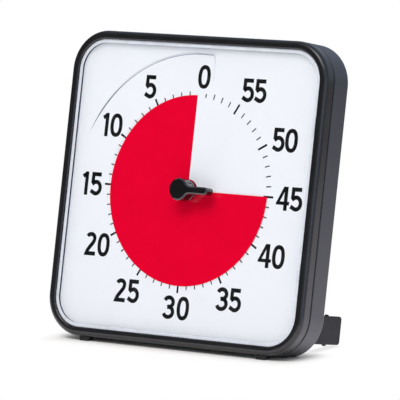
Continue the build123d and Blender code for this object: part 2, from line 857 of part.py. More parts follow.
slot_length = slider_stem + slider_travel + 2 * switch_window_gap
slot_width = slider_stem_height + 2 * switch_window_gap
sound_places = [(sounder_x, sounder_y)] + [
    (sounder_x + sound_hole_ring * cos(radians(60 * k)), sounder_y + sound_hole_ring * sin(radians(60 * k)))
    for k in range(6)
]
with BuildPart() as movement_cover:
    with BuildSketch(at_level(cover_back_z)):
        with Locations((0, (movement_top_y + bay_top_y) / 2)):
            Rectangle(2 * movement_half_width, movement_top_y - bay_top_y)
        Circle(pivot_radius + running_gap, mode=Mode.SUBTRACT)
        with Locations((slider_x, slider_y)):
            Rectangle(switch_length + 2 * fit_gap, switch_width + 2 * fit_gap, mode=Mode.SUBTRACT)
        with Locations(*sound_places):
            Circle(sound_hole_radius, mode=Mode.SUBTRACT)
    extrude(amount=cover_sheet)
    fillet(movement_cover.edges().filter_by(Axis.Z).group_by(Axis.Y)[-1], movement_corner_radius)
    with BuildSketch(at_level(movement_rear_z)):
        with Locations(*train_places):
            Circle(arbor_radius + running_gap)
    extrude(amount=-pivot_depth - fit_gap, mode=Mode.SUBTRACT)
movement_cover.part.label = "movement_cover"

ear_screw_length = movement_sheet + chassis_sheet - fit_gap
with BuildPart() as movement_screws:
    with BuildSketch(at_level(floor_back_z)):
        with Locations(*ear_places):
            Circle(ear_screw_radius)
    extrude(amount=ear_screw_length)
    with BuildSketch(at_level(floor_back_z)):
        with Locations(*ear_places):
            Circle(ear_head_radius)
    extrude(amount=-ear_head_height)
movement_screws.part.label = "movement_screws"

# ---------------------------------------------------------------- circuit board and what it carries
board_back_z = board_front_z - board_sheet
with BuildPart() as circuit_board:
    with BuildSketch(at_level(board_back_z)):
        with Locations(((board_left_x + board_right_x) / 2, (board_bottom_y + board_top_y) / 2)):
            Rectangle(board_right_x - board_left_x, board_top_y - board_bottom_y)
    extrude(amount=board_sheet)
circuit_board.part.label = "circuit_board"

with BuildPart() as quartz_crystal:
    with BuildSketch(Plane(origin=(crystal_x, crystal_y, board_front_z + crystal_radius), z_dir=(0, 1, 0))):
        Circle(crystal_radius)
    extrude(amount=crystal_length)
quartz_crystal.part.label = "quartz_crystal"

with BuildPart() as controller_chip:
    with BuildSketch(Plane(origin=(chip_x, chip_y, board_front_z))):
        Rectangle(chip_side, chip_side)
    extrude(amount=chip_height, taper=chip_draft)
controller_chip.part.label = "controller_chip"

with BuildPart() as sounder:
    with BuildSketch(Plane(origin=(sounder_x, sounder_y, board_front_z))):
        Circle(sounder_radius)
    extrude(amount=sounder_height)
    fillet(sounder.edges().group_by(Axis.Z)[-1], sounder_edge_radius)
    with BuildSketch(Plane(origin=(sounder_x, sounder_y, board_front_z + sounder_height))):
        Circle(sound_hole_radius)
    extrude(amount=-sounder_port_depth, mode=Mode.SUBTRACT)
sounder.part.label = "sounder"

with BuildPart() as switch_body:
    with BuildSketch(Plane(origin=(slider_x, slider_y, board_back_z))):
        Rectangle(switch_length, switch_width)
    extrude(amount=-switch_height)
switch_body.part.label = "switch_body"

slider_rest_x = slider_x - slider_travel / 2
with BuildPart() as alert_slider:
    with BuildSketch(Plane(origin=(slider_rest_x, slider_y, case_back_z + slider_sink - fit_gap))):
        RectangleRounded(slider_cap, slider_cap, slider_cap_corner)
    extrude(amount=-slider_sink)
    with BuildSketch(Plane(origin=(slider_rest_x, slider_y, case_back_z))):
        with GridLocations(slider_groove_pitch, 0, 3, 1):
            Rectangle(slider_groove, slider_cap)
    extrude(amount=-fit_gap, mode=Mode.SUBTRACT)
    with BuildSketch(Plane(origin=(slider_rest_x, slider_y, case_back_z + slider_sink - fit_gap))):
        Rectangle(slider_stem, slider_stem_height)
    extrude(amount=board_back_z - switch_height - fit_gap - case_back_z - slider_sink + fit_gap)
alert_slider.part.label = "alert_slider"

# ---------------------------------------------------------------- battery and contacts
cell_right_x = inside_half_width - contact_sheet - contact_gap - fit_gap
cell_left_x = cell_right_x - battery_nub_length - battery_length
cell_plane = Plane(origin=(cell_left_x, battery_y, battery_z), x_dir=(0, 1, 0), z_dir=(1, 0, 0))
with BuildPart() as battery:
    with BuildSketch(cell_plane):
        Circle(battery_radius)
    extrude(amount=battery_length)
    fillet(battery.edges(), battery_edge_radius)
    with BuildSketch(cell_plane.offset(battery_length)):
        Circle(battery_nub_radius)
    extrude(amount=battery_nub_length)
battery.part.label = "battery"


def contact_plate(side):
    """Strip on an end wall of the battery bay, with a tail that reaches the circuit board."""
    plate_x = side * (inside_half_width - contact_gap)
    tail_middle_z = movement_rear_z + fit_gap + contact_tail / 2 - battery_z
    with BuildPart() as strip:
        with BuildSketch(Plane(origin=(plate_x, battery_y, battery_z), x_dir=(0, 1, 0), z_dir=(1, 0, 0))):
            RectangleRounded(contact_width, contact_width, battery_edge_radius)
            with Locations((contact_tail_reach / 2, tail_middle_z)):
                Rectangle(contact_tail_reach, contact_tail)
        extrude(amount=-side * contact_sheet)
    return strip.part


with BuildPart() as positive_contact:
    add(contact_plate(1))
positive_contact.part.label = "positive_contact"

with BuildPart() as negative_contact:
    add(contact_plate(-1))
negative_contact.part.label = "negative_contact"

spring_root_x = -inside_half_width + contact_gap + contact_sheet + spring_wire + spring_end_gap
spring_tip_x = cell_left_x - spring_wire - spring_end_gap
with BuildPart() as battery_spring:
    with BuildLine() as coil_line:
        Helix(
            pitch=(spring_tip_x - spring_root_x) / spring_turns,
            height=spring_tip_x - spring_root_x,
            radius=spring_radius,
            center=(spring_root_x, battery_y, battery_z),
            direction=(1, 0, 0),
        )
    coil_wire = coil_line.wires()[0]
    with BuildSketch(Plane(origin=coil_wire @ 0, z_dir=coil_wire % 0)):
        Circle(spring_wire)
    sweep(path=coil_wire, is_frenet=True)
battery_spring.part.label = "battery_spring"

# ---------------------------------------------------------------- rear legs
# Two flat legs that swing out square to the back. Their lower rear corners and the front feet set the lean.
sole_y = -case_half - foot_height
heel_z = leg_tip_z + leg_corner_radius
heel_rise = leg_corner_radius - (heel_z - foot_z) * sin(radians(lean_angle))
heel_y = sole_y + heel_rise / cos(radians(lean_angle))
rise = tan(radians(leg_rise_angle))
leg_low_y = heel_y - leg_corner_radius / cos(radians(leg_rise_angle)) + leg_corner_radius * rise
leg_root_low_y = leg_low_y - leg_reach * rise
leg_root_high_y = leg_root_low_y + leg_height
leg_high_y = leg_low_y + leg_height
nub_z = leg_tip_z + leg_nub_setback
leg_plane = Plane(origin=(leg_outer_x, 0, 0), x_dir=(0, 0, -1), z_dir=(1, 0, 0))


def leg_outline(grow):
    """Side view of an open leg, from the pin to the tip; call inside a BuildSketch."""
    Polygon(
        (-leg_pin_z, leg_root_low_y - grow),
        (-leg_tip_z + grow, leg_low_y - grow),
        (-leg_tip_z + grow, leg_high_y + grow),
        (-leg_pin_z, leg_root_high_y + grow),
        align=None,
    )


with BuildPart() as right_leg:
    with BuildSketch(leg_plane):
        leg_outline(0)
    extrude(amount=-leg_sheet)
    tip_edges = right_leg.edges().filter_by(Axis.X).group_by(Axis.Z)[0]
    fillet(tip_edges, leg_corner_radius)
    outer_face = right_leg.faces().sort_by(Axis.X)[-1]
    chamfer(outer_face.edges(), leg_edge_bevel)
    barrel_plane = Plane(origin=(leg_plane_x, leg_root_low_y, leg_pin_z), x_dir=(1, 0, 0), z_dir=(0, 1, 0))
    with BuildSketch(barrel_plane):
        Circle(leg_barrel_radius)
    extrude(amount=leg_height)
    with BuildSketch(leg_plane.offset(-leg_edge_bevel)):
        nub_low_y = leg_low_y - leg_nub_setback * rise
        with Locations((-nub_z, nub_low_y), (-nub_z, nub_low_y + leg_height)):
            Circle(leg_nub_radius)
    extrude(amount=-leg_sheet + 2 * leg_edge_bevel)
    with BuildSketch(barrel_plane.offset(-leg_gap)):
        Circle(leg_pin_radius + running_gap)
    extrude(amount=leg_height + 2 * leg_gap, mode=Mode.SUBTRACT)
right_leg.part.label = "right_leg"

with BuildPart() as left_leg:
    add(mirror(right_leg.part, about=Plane.YZ, mode=Mode.PRIVATE))
left_leg.part.label = "left_leg"

pin_low_y = leg_root_low_y - leg_gap - leg_pin_grip
pin_length = leg_height + 2 * (leg_gap + leg_pin_grip)
with BuildPart() as leg_pins:
    with BuildSketch(Plane(origin=(0, pin_low_y, leg_pin_z), x_dir=(1, 0, 0), z_dir=(0, 1, 0))):
        with Locations((-leg_plane_x, 0), (leg_plane_x, 0)):
            Circle(leg_pin_radius)
    extrude(amount=pin_length)
leg_pins.part.label = "leg_pins"

# ---------------------------------------------------------------- battery door
door_low_y = battery_y - door_height / 2
door_pin_y = door_low_y + door_sheet / 2
door_pin_z = case_back_z + door_sheet / 2
with BuildPart() as battery_door:
    with BuildSketch(at_level(case_back_z)):
        with Locations((0, battery_y)):
            Rectangle(2 * door_half_width, door_height)
    extrude(amount=door_sheet)
    fillet(battery_door.edges().filter_by(Axis.Z), door_corner_radius)
    low_edges = battery_door.edges().filter_by(Axis.X).group_by(Axis.Y)[0]
    fillet(low_edges, door_sheet / 2 - door_round_flat)
    with BuildSketch(Plane(origin=(0, battery_y + door_height / 2, case_back_z))):
        SlotCenterToCenter(door_notch_length, door_notch_width)
    extrude(amount=door_notch_depth, mode=Mode.SUBTRACT)
    for side in (-1, 1):
        pin_root = (side * (door_half_width - door_pin_length), door_pin_y, door_pin_z)
        with BuildSketch(Plane(origin=pin_root, z_dir=(side, 0, 0))):
            Circle(door_pin_radius)
        extrude(amount=2 * door_pin_length)
battery_door.part.label = "battery_door"

# ---------------------------------------------------------------- rear shell
leg_slot_low_y = leg_root_low_y - leg_nub_radius - leg_gap
leg_slot_high_y = leg_high_y + leg_nub_radius + leg_gap
leg_slot_height = leg_slot_high_y - leg_slot_low_y
leg_slot_y = (leg_slot_low_y + leg_slot_high_y) / 2
leg_slot_inner_x = leg_plane_x - leg_reach - leg_gap
leg_slot_outer_x = leg_outer_x + leg_gap
leg_slot_floor_z = case_back_z + leg_sheet + leg_gap
barrel_slot_floor_z = leg_pin_z + leg_barrel_radius + leg_gap
barrel_slot_inner_x = leg_plane_x - leg_barrel_radius - leg_gap
island_inner_x = leg_slot_inner_x - leg_scoop_radius - leg_skin
island_outer_x = leg_slot_outer_x + leg_skin
island_height = leg_slot_height + 2 * leg_skin


def on_both_sides(inner_x, outer_x, middle_y, height):
    """Matching rectangles left and right of the middle; call inside a BuildSketch."""
    middle_x = (inner_x + outer_x) / 2
    with Locations((-middle_x, middle_y), (middle_x, middle_y)):
        Rectangle(outer_x - inner_x, height)


with BuildPart() as rear_shell:
    with BuildSketch(at_level(case_back_z)):
        RectangleRounded(case_width, case_width, case_corner_radius)
    extrude(amount=shell_front_z - case_back_z)
    fillet(rear_shell.faces().sort_by(Axis.Z)[0].edges(), back_edge_radius)
    fillet(rear_shell.faces().sort_by(Axis.Z)[-1].edges(), groove_edge_radius)
    tongue_root_z = shell_front_z - tongue_depth
    with BuildSketch(at_level(tongue_root_z)):
        RectangleRounded(2 * tongue_half, 2 * tongue_half, tongue_corner)
    extrude(amount=lens_border_back_z - tongue_root_z)
    with BuildSketch(at_level(back_inside_z)):
        RectangleRounded(
            2 * (case_half - shell_wall), 2 * (case_half - shell_wall), case_corner_radius - shell_wall
        )
    extrude(amount=tongue_root_z - back_inside_z, mode=Mode.SUBTRACT)
    with BuildSketch(at_level(tongue_root_z)):
        RectangleRounded(
            2 * (frame_half + fit_gap), 2 * (frame_half + fit_gap), frame_corner + fit_gap
        )
    extrude(amount=lens_border_back_z - tongue_root_z, mode=Mode.SUBTRACT)
    # Inner islands that back the leg slots, the door and the hanger, and the screw bosses
    with BuildSketch(at_level(back_inside_z)):
        on_both_sides(island_inner_x, island_outer_x, leg_slot_y, island_height)
    extrude(amount=leg_slot_floor_z + leg_skin - back_inside_z)
    with BuildSketch(at_level(back_inside_z)):
        on_both_sides(barrel_slot_inner_x - leg_skin, island_outer_x, leg_slot_y, island_height)
    extrude(amount=barrel_slot_floor_z + leg_skin - back_inside_z)
    door_island_z = case_back_z + door_sheet + door_rest_gap + door_skin
    with BuildSketch(at_level(back_inside_z)):
        with Locations((0, battery_y)):
            Rectangle(
                2 * (door_half_width + door_pin_length + door_skin), door_height + 2 * (door_gap + door_skin)
            )
    extrude(amount=door_island_z - back_inside_z)
    with BuildSketch(at_level(back_inside_z)):
        with Locations((0, hanger_y + hanger_slot_rise / 2)):
            RectangleRounded(
                2 * (hanger_hole_radius + hanger_side_gap + hanger_skin),
                hanger_slot_rise + 2 * (hanger_hole_radius + hanger_side_gap + hanger_skin),
                hanger_skin,
            )
    extrude(amount=hanger_pocket_depth + hanger_skin)
    with BuildSketch(at_level(back_inside_z)):
        with Locations(*post_places):
            Circle(boss_radius)
    extrude(amount=post_joint_z - back_inside_z)
    # Cuts from the back
    with BuildSketch(at_level(case_back_z)):
        on_both_sides(leg_slot_inner_x, leg_slot_outer_x, leg_slot_y, leg_slot_height)
    extrude(amount=leg_slot_floor_z - case_back_z, mode=Mode.SUBTRACT)
    with BuildSketch(at_level(case_back_z)):
        on_both_sides(barrel_slot_inner_x, leg_slot_outer_x, leg_slot_y, leg_slot_height)
    extrude(amount=barrel_slot_floor_z - case_back_z, mode=Mode.SUBTRACT)
    with BuildSketch(at_level(case_back_z)):
        with Locations((-leg_slot_inner_x, leg_slot_y), (leg_slot_inner_x, leg_slot_y)):
            Circle(leg_scoop_radius)
    extrude(amount=leg_scoop_depth, mode=Mode.SUBTRACT)
    with BuildSketch(Plane(origin=(0, pin_low_y, leg_pin_z), x_dir=(1, 0, 0), z_dir=(0, 1, 0))):
        with Locations((-leg_plane_x, 0), (leg_plane_x, 0)):
            Circle(leg_pin_radius)
    extrude(amount=pin_length, mode=Mode.SUBTRACT)
    with BuildSketch(at_level(case_back_z)):
        with Locations((0, battery_y)):
            Rectangle(2 * (door_half_width + door_gap), door_height + 2 * door_gap)
    extrude(amount=door_sheet + door_rest_gap, mode=Mode.SUBTRACT)
    with BuildSketch(at_level(case_back_z)):
        with Locations((0, battery_y)):
            Rectangle(2 * (inside_half_width - movement_wall), bay_top_y - bay_bottom_y)
    extrude(amount=door_island_z - case_back_z, mode=Mode.SUBTRACT)
    door_pin_reach = door_half_width + door_pin_length + door_gap
    with BuildSketch(Plane(origin=(-door_pin_reach, door_pin_y, door_pin_z), z_dir=(1, 0, 0))):
        Circle(door_pin_radius + running_gap)
    extrude(amount=2 * door_pin_reach, mode=Mode.SUBTRACT)
    with BuildSketch(at_level(case_back_z)):
        with Locations(*post_places):
            Circle(screw_head_radius + fit_gap)
    extrude(amount=screw_head_sink, mode=Mode.SUBTRACT)
    with BuildSketch(at_level(case_back_z)):
        with Locations(*post_places):
            Circle(screw_radius + fit_gap)
    extrude(amount=post_joint_z - case_back_z, mode=Mode.SUBTRACT)
    with BuildSketch(at_level(case_back_z)):
        with Locations((0, hanger_y)):
            Circle(hanger_hole_radius)
        with Locations((0, hanger_y + hanger_slot_rise / 2)):
            SlotCenterToCenter(hanger_slot_rise, 2 * hanger_slot_radius, rotation=90)
    extrude(amount=back_wall, mode=Mode.SUBTRACT)
    with BuildSketch(at_level(back_inside_z)):
        with Locations((0, hanger_y + hanger_slot_rise / 2)):
            RectangleRounded(
                2 * (hanger_hole_radius + hanger_side_gap),
                hanger_slot_rise + 2 * (hanger_hole_radius + hanger_side_gap),
                hanger_side_gap,
            )
    extrude(amount=hanger_pocket_depth, mode=Mode.SUBTRACT)
    with BuildSketch(at_level(case_back_z)):
        with Locations(*sound_places):
            Circle(sound_hole_radius)
        with Locations((slider_x, slider_y)):
            Rectangle(slot_length, slot_width)
    extrude(amount=back_wall, mode=Mode.SUBTRACT)
    with BuildSketch(at_level(case_back_z)):
        with Locations((slider_x, slider_y)):
            RectangleRounded(
                slider_cap + slider_travel + 4 * fit_gap, slider_cap + 4 * fit_gap, slider_cap_corner
            )
    extrude(amount=slider_sink, mode=Mode.SUBTRACT)
rear_shell.part.label = "rear_shell"

# ---------------------------------------------------------------- front feet and case screws
ground = Plane(
    origin=(0, sole_y, foot_z),
    x_dir=(1, 0, 0),
    z_dir=(0, cos(radians(lean_angle)), sin(radians(lean_angle))),
)
with BuildPart() as front_feet:
    with BuildSketch(foot_sockets):
        with Locations((-foot_x, 0), (foot_x, 0)):
            RectangleRounded(foot_width, foot_length, foot_corner_radius)
    extrude(amount=foot_height + foot_length, taper=foot_draft)
    split(bisect_by=ground, keep=Keep.TOP)
    with BuildSketch(foot_sockets):
        with Locations((-foot_x, 0), (foot_x, 0)):
            Circle(foot_peg_radius)
    extrude(amount=-foot_peg_length)
front_feet.part.label = "front_feet"

screw_seat_z = case_back_z + screw_head_sink
with BuildPart() as case_screws:
    with BuildSketch(at_level(screw_seat_z)):
        with Locations(*post_places):
            Circle(screw_radius)
    extrude(amount=post_joint_z + screw_grip - fit_gap - screw_seat_z)
    with BuildSketch(at_level(screw_seat_z - screw_head_height)):
        with Locations(*post_places):
            Circle(screw_head_radius)
    extrude(amount=screw_head_height)
    fillet(case_screws.edges().group_by(Axis.Z)[0], screw_head_edge)
case_screws.part.label = "case_screws"

# ---------------------------------------------------------------- stand the timer on its feet and legs
# The origin goes to the middle of the timer's outline on the desk, under its bounding box.
lean_sin = sin(radians(lean_angle))
lean_cos = cos(radians(lean_angle))
roll_y = -case_half + bezel_outer_roll
roll_z = bezel_front_z - bezel_outer_roll
foremost = roll_y * lean_sin - roll_z * lean_cos - bezel_outer_roll
hindmost = (leg_high_y - leg_corner_radius) * lean_sin - heel_z * lean_cos + leg_corner_radius
ground_drop = -(sole_y * lean_cos + foot_z * lean_sin)
stance = Plane(
    origin=(0, -(foremost + hindmost) / 2, ground_drop),
    x_dir=(1, 0, 0),
    z_dir=(0, -lean_cos, lean_sin),
).location

for piece in (
    front_bezel, rear_shell, clear_lens, dial_card, dial_chassis, red_disc, disc_hub, knob, timer_shaft,
    clutch_spring, centre_wheel, third_wheel, fourth_wheel, idler_wheel, rotor, stator, coil_bobbin,
    coil_winding, movement_base, movement_cover, movement_screws, circuit_board, quartz_crystal,
    controller_chip, sounder, switch_body, alert_slider, battery, positive_contact, negative_contact,
    battery_spring, battery_door, right_leg, left_leg, leg_pins, front_feet, case_screws,
):
    standing = stance * piece.part
    standing.label = piece.part.label
    export_step(standing, f"parts/{standing.label}.step")
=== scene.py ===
"""Dresses the packed countdown timer: printed dial, clear lens, moulded case, movement and a plain studio."""

import json
import math

import bmesh
import bpy
from bpy.props import FloatProperty, FloatVectorProperty, PointerProperty
from mathutils import Matrix, Vector


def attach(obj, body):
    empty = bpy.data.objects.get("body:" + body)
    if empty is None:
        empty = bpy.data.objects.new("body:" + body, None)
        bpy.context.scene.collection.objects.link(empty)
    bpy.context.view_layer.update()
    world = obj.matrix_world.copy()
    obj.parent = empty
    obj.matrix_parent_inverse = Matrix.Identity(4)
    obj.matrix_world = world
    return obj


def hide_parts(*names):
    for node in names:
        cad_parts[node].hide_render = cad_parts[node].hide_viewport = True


bl_info = {
    "name": "Countdown Timer Dressing",
    "version": (1, 0, 0),
    "blender": (4, 5, 0),
    "location": "View3D > Sidebar > Timer",
    "description": "Prints the dial and gives every piece of a countdown timer its finish",
    "category": "Object",
}

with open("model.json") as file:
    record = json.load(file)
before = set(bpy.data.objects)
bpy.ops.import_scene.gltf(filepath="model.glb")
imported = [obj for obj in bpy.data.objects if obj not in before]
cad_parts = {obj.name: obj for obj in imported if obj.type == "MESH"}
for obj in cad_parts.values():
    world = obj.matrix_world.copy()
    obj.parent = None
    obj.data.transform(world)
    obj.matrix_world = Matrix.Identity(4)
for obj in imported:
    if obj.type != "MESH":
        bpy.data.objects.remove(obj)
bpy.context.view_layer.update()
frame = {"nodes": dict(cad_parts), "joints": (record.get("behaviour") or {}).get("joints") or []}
MM = 0.001

# The dial frame: X to the reader's right, Y up the dial, Z out of it, origin on the timer shaft.
knob_turn = next(joint for joint in frame["joints"] if joint["name"] == "timer_turn")
DIAL_OUT = Vector(knob_turn["axis"]).normalized()
DIAL_RIGHT = Vector((1, 0, 0))
DIAL_UP = DIAL_OUT.cross(DIAL_RIGHT)
STAND = Matrix((DIAL_RIGHT, DIAL_UP, DIAL_OUT)).transposed().to_4x4()
STAND.translation = Vector(knob_turn["pos_m"])
FROM_MM = STAND @ Matrix.Scale(MM, 4)

# Levels of the white card, in millimetres in the dial frame
CARD_TOP = -0.02
SLIT_DEPTH = 0.76
RAMP_END = 171.0
RAMP_RADIUS = 60.0
WELL_END = 69.0
WELL_RADIUS = 85.0
WELL_RIGHT = 10.4
WELL_CORNER = 3.0

# Lens border, in millimetres in the dial frame
OPENING_HALF = 89.45
OPENING_CORNER = 19.05
STEP_HALF = 87.35
STEP_CORNER = 16.95
BORDER_TOP = 3.5
COLLAR_TOP = 3.1


# ---------------------------------------------------------------- sizes and colours a user would change
class TimerCaseLook(bpy.types.PropertyGroup):
    """Colours of the case"""

    bezel_colour: FloatVectorProperty(
        name="Bezel", description="Colour of the front ring", subtype="COLOR", size=3,
        min=0, max=1, default=(0.0112, 0.0112, 0.0132),
    )
    shell_colour: FloatVectorProperty(
        name="Shell", description="Colour of the rear shell and the legs", subtype="COLOR", size=3,
        min=0, max=1, default=(0.022, 0.0245, 0.032),
    )
    grain_size: FloatProperty(
        name="Grain", description="Size of the moulded grain", default=0.0007, unit="LENGTH",
        min=0.0001, max=0.01, precision=5,
    )


class TimerDialLook(bpy.types.PropertyGroup):
    """Sizes and colours of the dial"""

    card_colour: FloatVectorProperty(
        name="Card", description="Colour of the dial card", subtype="COLOR", size=3,
        min=0, max=1, default=(0.838, 0.852, 0.886),
    )
    print_colour: FloatVectorProperty(
        name="Ink", description="Colour of the printed figures", subtype="COLOR", size=3,
        min=0, max=1, default=(0.006, 0.006, 0.0065),
    )
    disc_colour: FloatVectorProperty(
        name="Disc", description="Colour of the sheet that shows the time left", subtype="COLOR", size=3,
        min=0, max=1, default=(0.85, 0.0, 0.029),
    )
    figure_height: FloatProperty(
        name="Figure height", description="Height of the printed figures", default=0.01455, unit="LENGTH",
        min=0.005, max=0.03, precision=4,
    )
    figure_stroke: FloatProperty(
        name="Figure stroke", description="Stroke of the figures, as a share of their height",
        default=0.174, min=0.05, max=0.3,
    )


class TimerStageLook(bpy.types.PropertyGroup):
    """Light of the studio"""

    key_power: FloatProperty(
        name="Key light", description="Power of the large lamp above the dial", default=141.0, unit="POWER",
        min=0, max=500,
    )
    edge_power: FloatProperty(
        name="Edge light", description="Power of the small lamp that draws a line on rolled edges",
        default=4.0, unit="POWER", min=0, max=200,
    )
    room_level: FloatProperty(
        name="Room light", description="Level of the light from all round", default=0.70, min=0, max=2,
    )


LOOKS = {
    "timer_case_look": TimerCaseLook,
    "timer_dial_look": TimerDialLook,
    "timer_stage_look": TimerStageLook,
}


# ---------------------------------------------------------------- mesh helpers
def add_object(name, data):
    """Put a mesh, lamp or camera into the scene as an object."""
    made = bpy.data.objects.new(name, data)
    bpy.context.scene.collection.objects.link(made)
    return made


def as_mesh(name, mesh_data):
    """Turn a bmesh into a mesh and free it."""
    mesh = bpy.data.meshes.new(name)
    mesh_data.to_mesh(mesh)
    mesh_data.free()
    return mesh


def finish_piece(name, mesh_data, body, material, replaced=()):
    """Make an object of a bmesh given in millimetres in the dial frame, and let it ride on a body."""
    mesh_data.transform(FROM_MM)
    mesh = as_mesh(name, mesh_data)
    piece = add_object(name, mesh)
    mesh.materials.append(material)
    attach(piece, body)
    if replaced:
        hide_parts(*replaced)
    return piece


def smooth_by_angle(mesh_data, degrees=35):
    """Round faces shade smooth and real edges stay sharp."""
    limit = math.radians(degrees)
    for face in mesh_data.faces:
        face.smooth = True
    for edge in mesh_data.edges:
        edge.smooth = edge.is_manifold and edge.calc_face_angle(0) < limit


def revolve(profile, steps):
    """Closed turned shape from (radius, height) pairs that start and end on the axis."""
    turned = bmesh.new()
    points = [turned.verts.new((radius, 0, height)) for radius, height in profile]
    edges = [turned.edges.new(pair) for pair in zip(points, points[1:])]
    bmesh.ops.spin(
        turned, geom=points + edges, cent=(0, 0, 0), axis=(0, 0, 1), dvec=(0, 0, 0),
        angle=math.tau, steps=steps, use_merge=True, use_duplicate=False,
    )
    bmesh.ops.remove_doubles(turned, verts=turned.verts, dist=0.001)
    bmesh.ops.recalc_face_normals(turned, faces=turned.faces)
    return turned


def add_copy(target, source, matrix):
    """Add a placed copy of one bmesh to another."""
    mesh = bpy.data.meshes.new("copy")
    source.to_mesh(mesh)
    mesh.transform(matrix)
    target.from_mesh(mesh)
    bpy.data.meshes.remove(mesh)


def thicken(sheet, rise):
    """Turn a flat sheet into a solid one by raising a copy of its faces."""
    raised = bmesh.ops.extrude_face_region(sheet, geom=sheet.faces[:])
    moved = [v for v in raised["geom"] if isinstance(v, bmesh.types.BMVert)]
    bmesh.ops.translate(sheet, verts=moved, vec=(0, 0, rise))
    bmesh.ops.recalc_face_normals(sheet, faces=sheet.faces)


def with_modifier(mesh_data, kind, **settings):
    """The bmesh after one modifier."""
    mesh = as_mesh("work", mesh_data)
    work = add_object("work", mesh)
    modifier = work.modifiers.new(kind.lower(), kind)
    for key, value in settings.items():
        setattr(modifier, key, value)
    depsgraph = bpy.context.evaluated_depsgraph_get()
    made = bpy.data.meshes.new_from_object(work.evaluated_get(depsgraph))
    result = bmesh.new()
    result.from_mesh(made)
    bpy.data.objects.remove(work)
    for used in (mesh, made):
        bpy.data.meshes.remove(used)
    return result


# ---------------------------------------------------------------- node helpers
def node(tree, kind, inputs=None, **settings):
    """Add a node; inputs that are sockets are linked, others are set."""
    made = tree.nodes.new(kind)
    for key, value in settings.items():
        setattr(made, key, value)
    for key, value in (inputs or {}).items():
        if isinstance(value, bpy.types.NodeSocket):
            tree.links.new(value, made.inputs[key])
        else:
            made.inputs[key].default_value = value
    return made


def calc(tree, operation, *values):
    """Output of a Math node."""
    return node(tree, "ShaderNodeMath", dict(enumerate(values)), operation=operation).outputs[0]


def vector_calc(tree, operation, *values):
    """Vector put out by a Vector Math node."""
    return node(tree, "ShaderNodeVectorMath", dict(enumerate(values)), operation=operation).outputs["Vector"]


def measure(tree, operation, *values):
    """Number put out by a Vector Math node."""
    return node(tree, "ShaderNodeVectorMath", dict(enumerate(values)), operation=operation).outputs["Value"]


def split(tree, vector):
    """The X, Y and Z of a vector."""
    return node(tree, "ShaderNodeSeparateXYZ", {0: vector}).outputs


def join(tree, x, y):
    """Vector of an X and a Y."""
    return node(tree, "ShaderNodeCombineXYZ", {0: x, 1: y}).outputs[0]


def remap(tree, value, start, end, smooth=False):
    """Carry a value from one range to another and hold it at the ends."""
    return node(
        tree, "ShaderNodeMapRange",
        {"Value": value, "From Min": start[0], "From Max": start[1], "To Min": end[0], "To Max": end[1]},
        interpolation_type="SMOOTHSTEP" if smooth else "LINEAR",
    ).outputs[0]


def blend(tree, factor, first, second):
    """Colour between two colours."""
    mix = node(tree, "ShaderNodeMix", {"Factor": factor, 6: first, 7: second}, data_type="RGBA")
    return mix.outputs[2]


NOISE_SPAN = (0.3, 0.7)
WHITE = (1, 1, 1, 1)


def noise(tree, place, scale, detail, roughness=0.5, distortion=0.0):
    """Noise that mostly stays within its span."""
    made = node(tree, "ShaderNodeTexNoise", {
        "Vector": place, "Scale": scale, "Detail": detail, "Roughness": roughness, "Distortion": distortion,
    })
    return made.outputs["Fac"]


def either(tree, *masks):
    """The largest of several masks."""
    result = masks[0]
    for mask in masks[1:]:
        result = calc(tree, "MAXIMUM", result, mask)
    return result


def both(tree, *masks):
    """The product of several masks."""
    result = masks[0]
    for mask in masks[1:]:
        result = calc(tree, "MULTIPLY", result, mask)
    return result


def new_group(name, inputs, outputs):
    """Shader node group with named sockets; returns the tree, its input node and its output node."""
    tree = bpy.data.node_groups.new(name, "ShaderNodeTree")
    for direction, sockets in (("INPUT", inputs), ("OUTPUT", outputs)):
        for socket_name, (kind, value) in sockets.items():
            socket = tree.interface.new_socket(socket_name, in_out=direction, socket_type=kind)
            if value is not None:
                socket.default_value = value
    return tree, node(tree, "NodeGroupInput"), node(tree, "NodeGroupOutput")


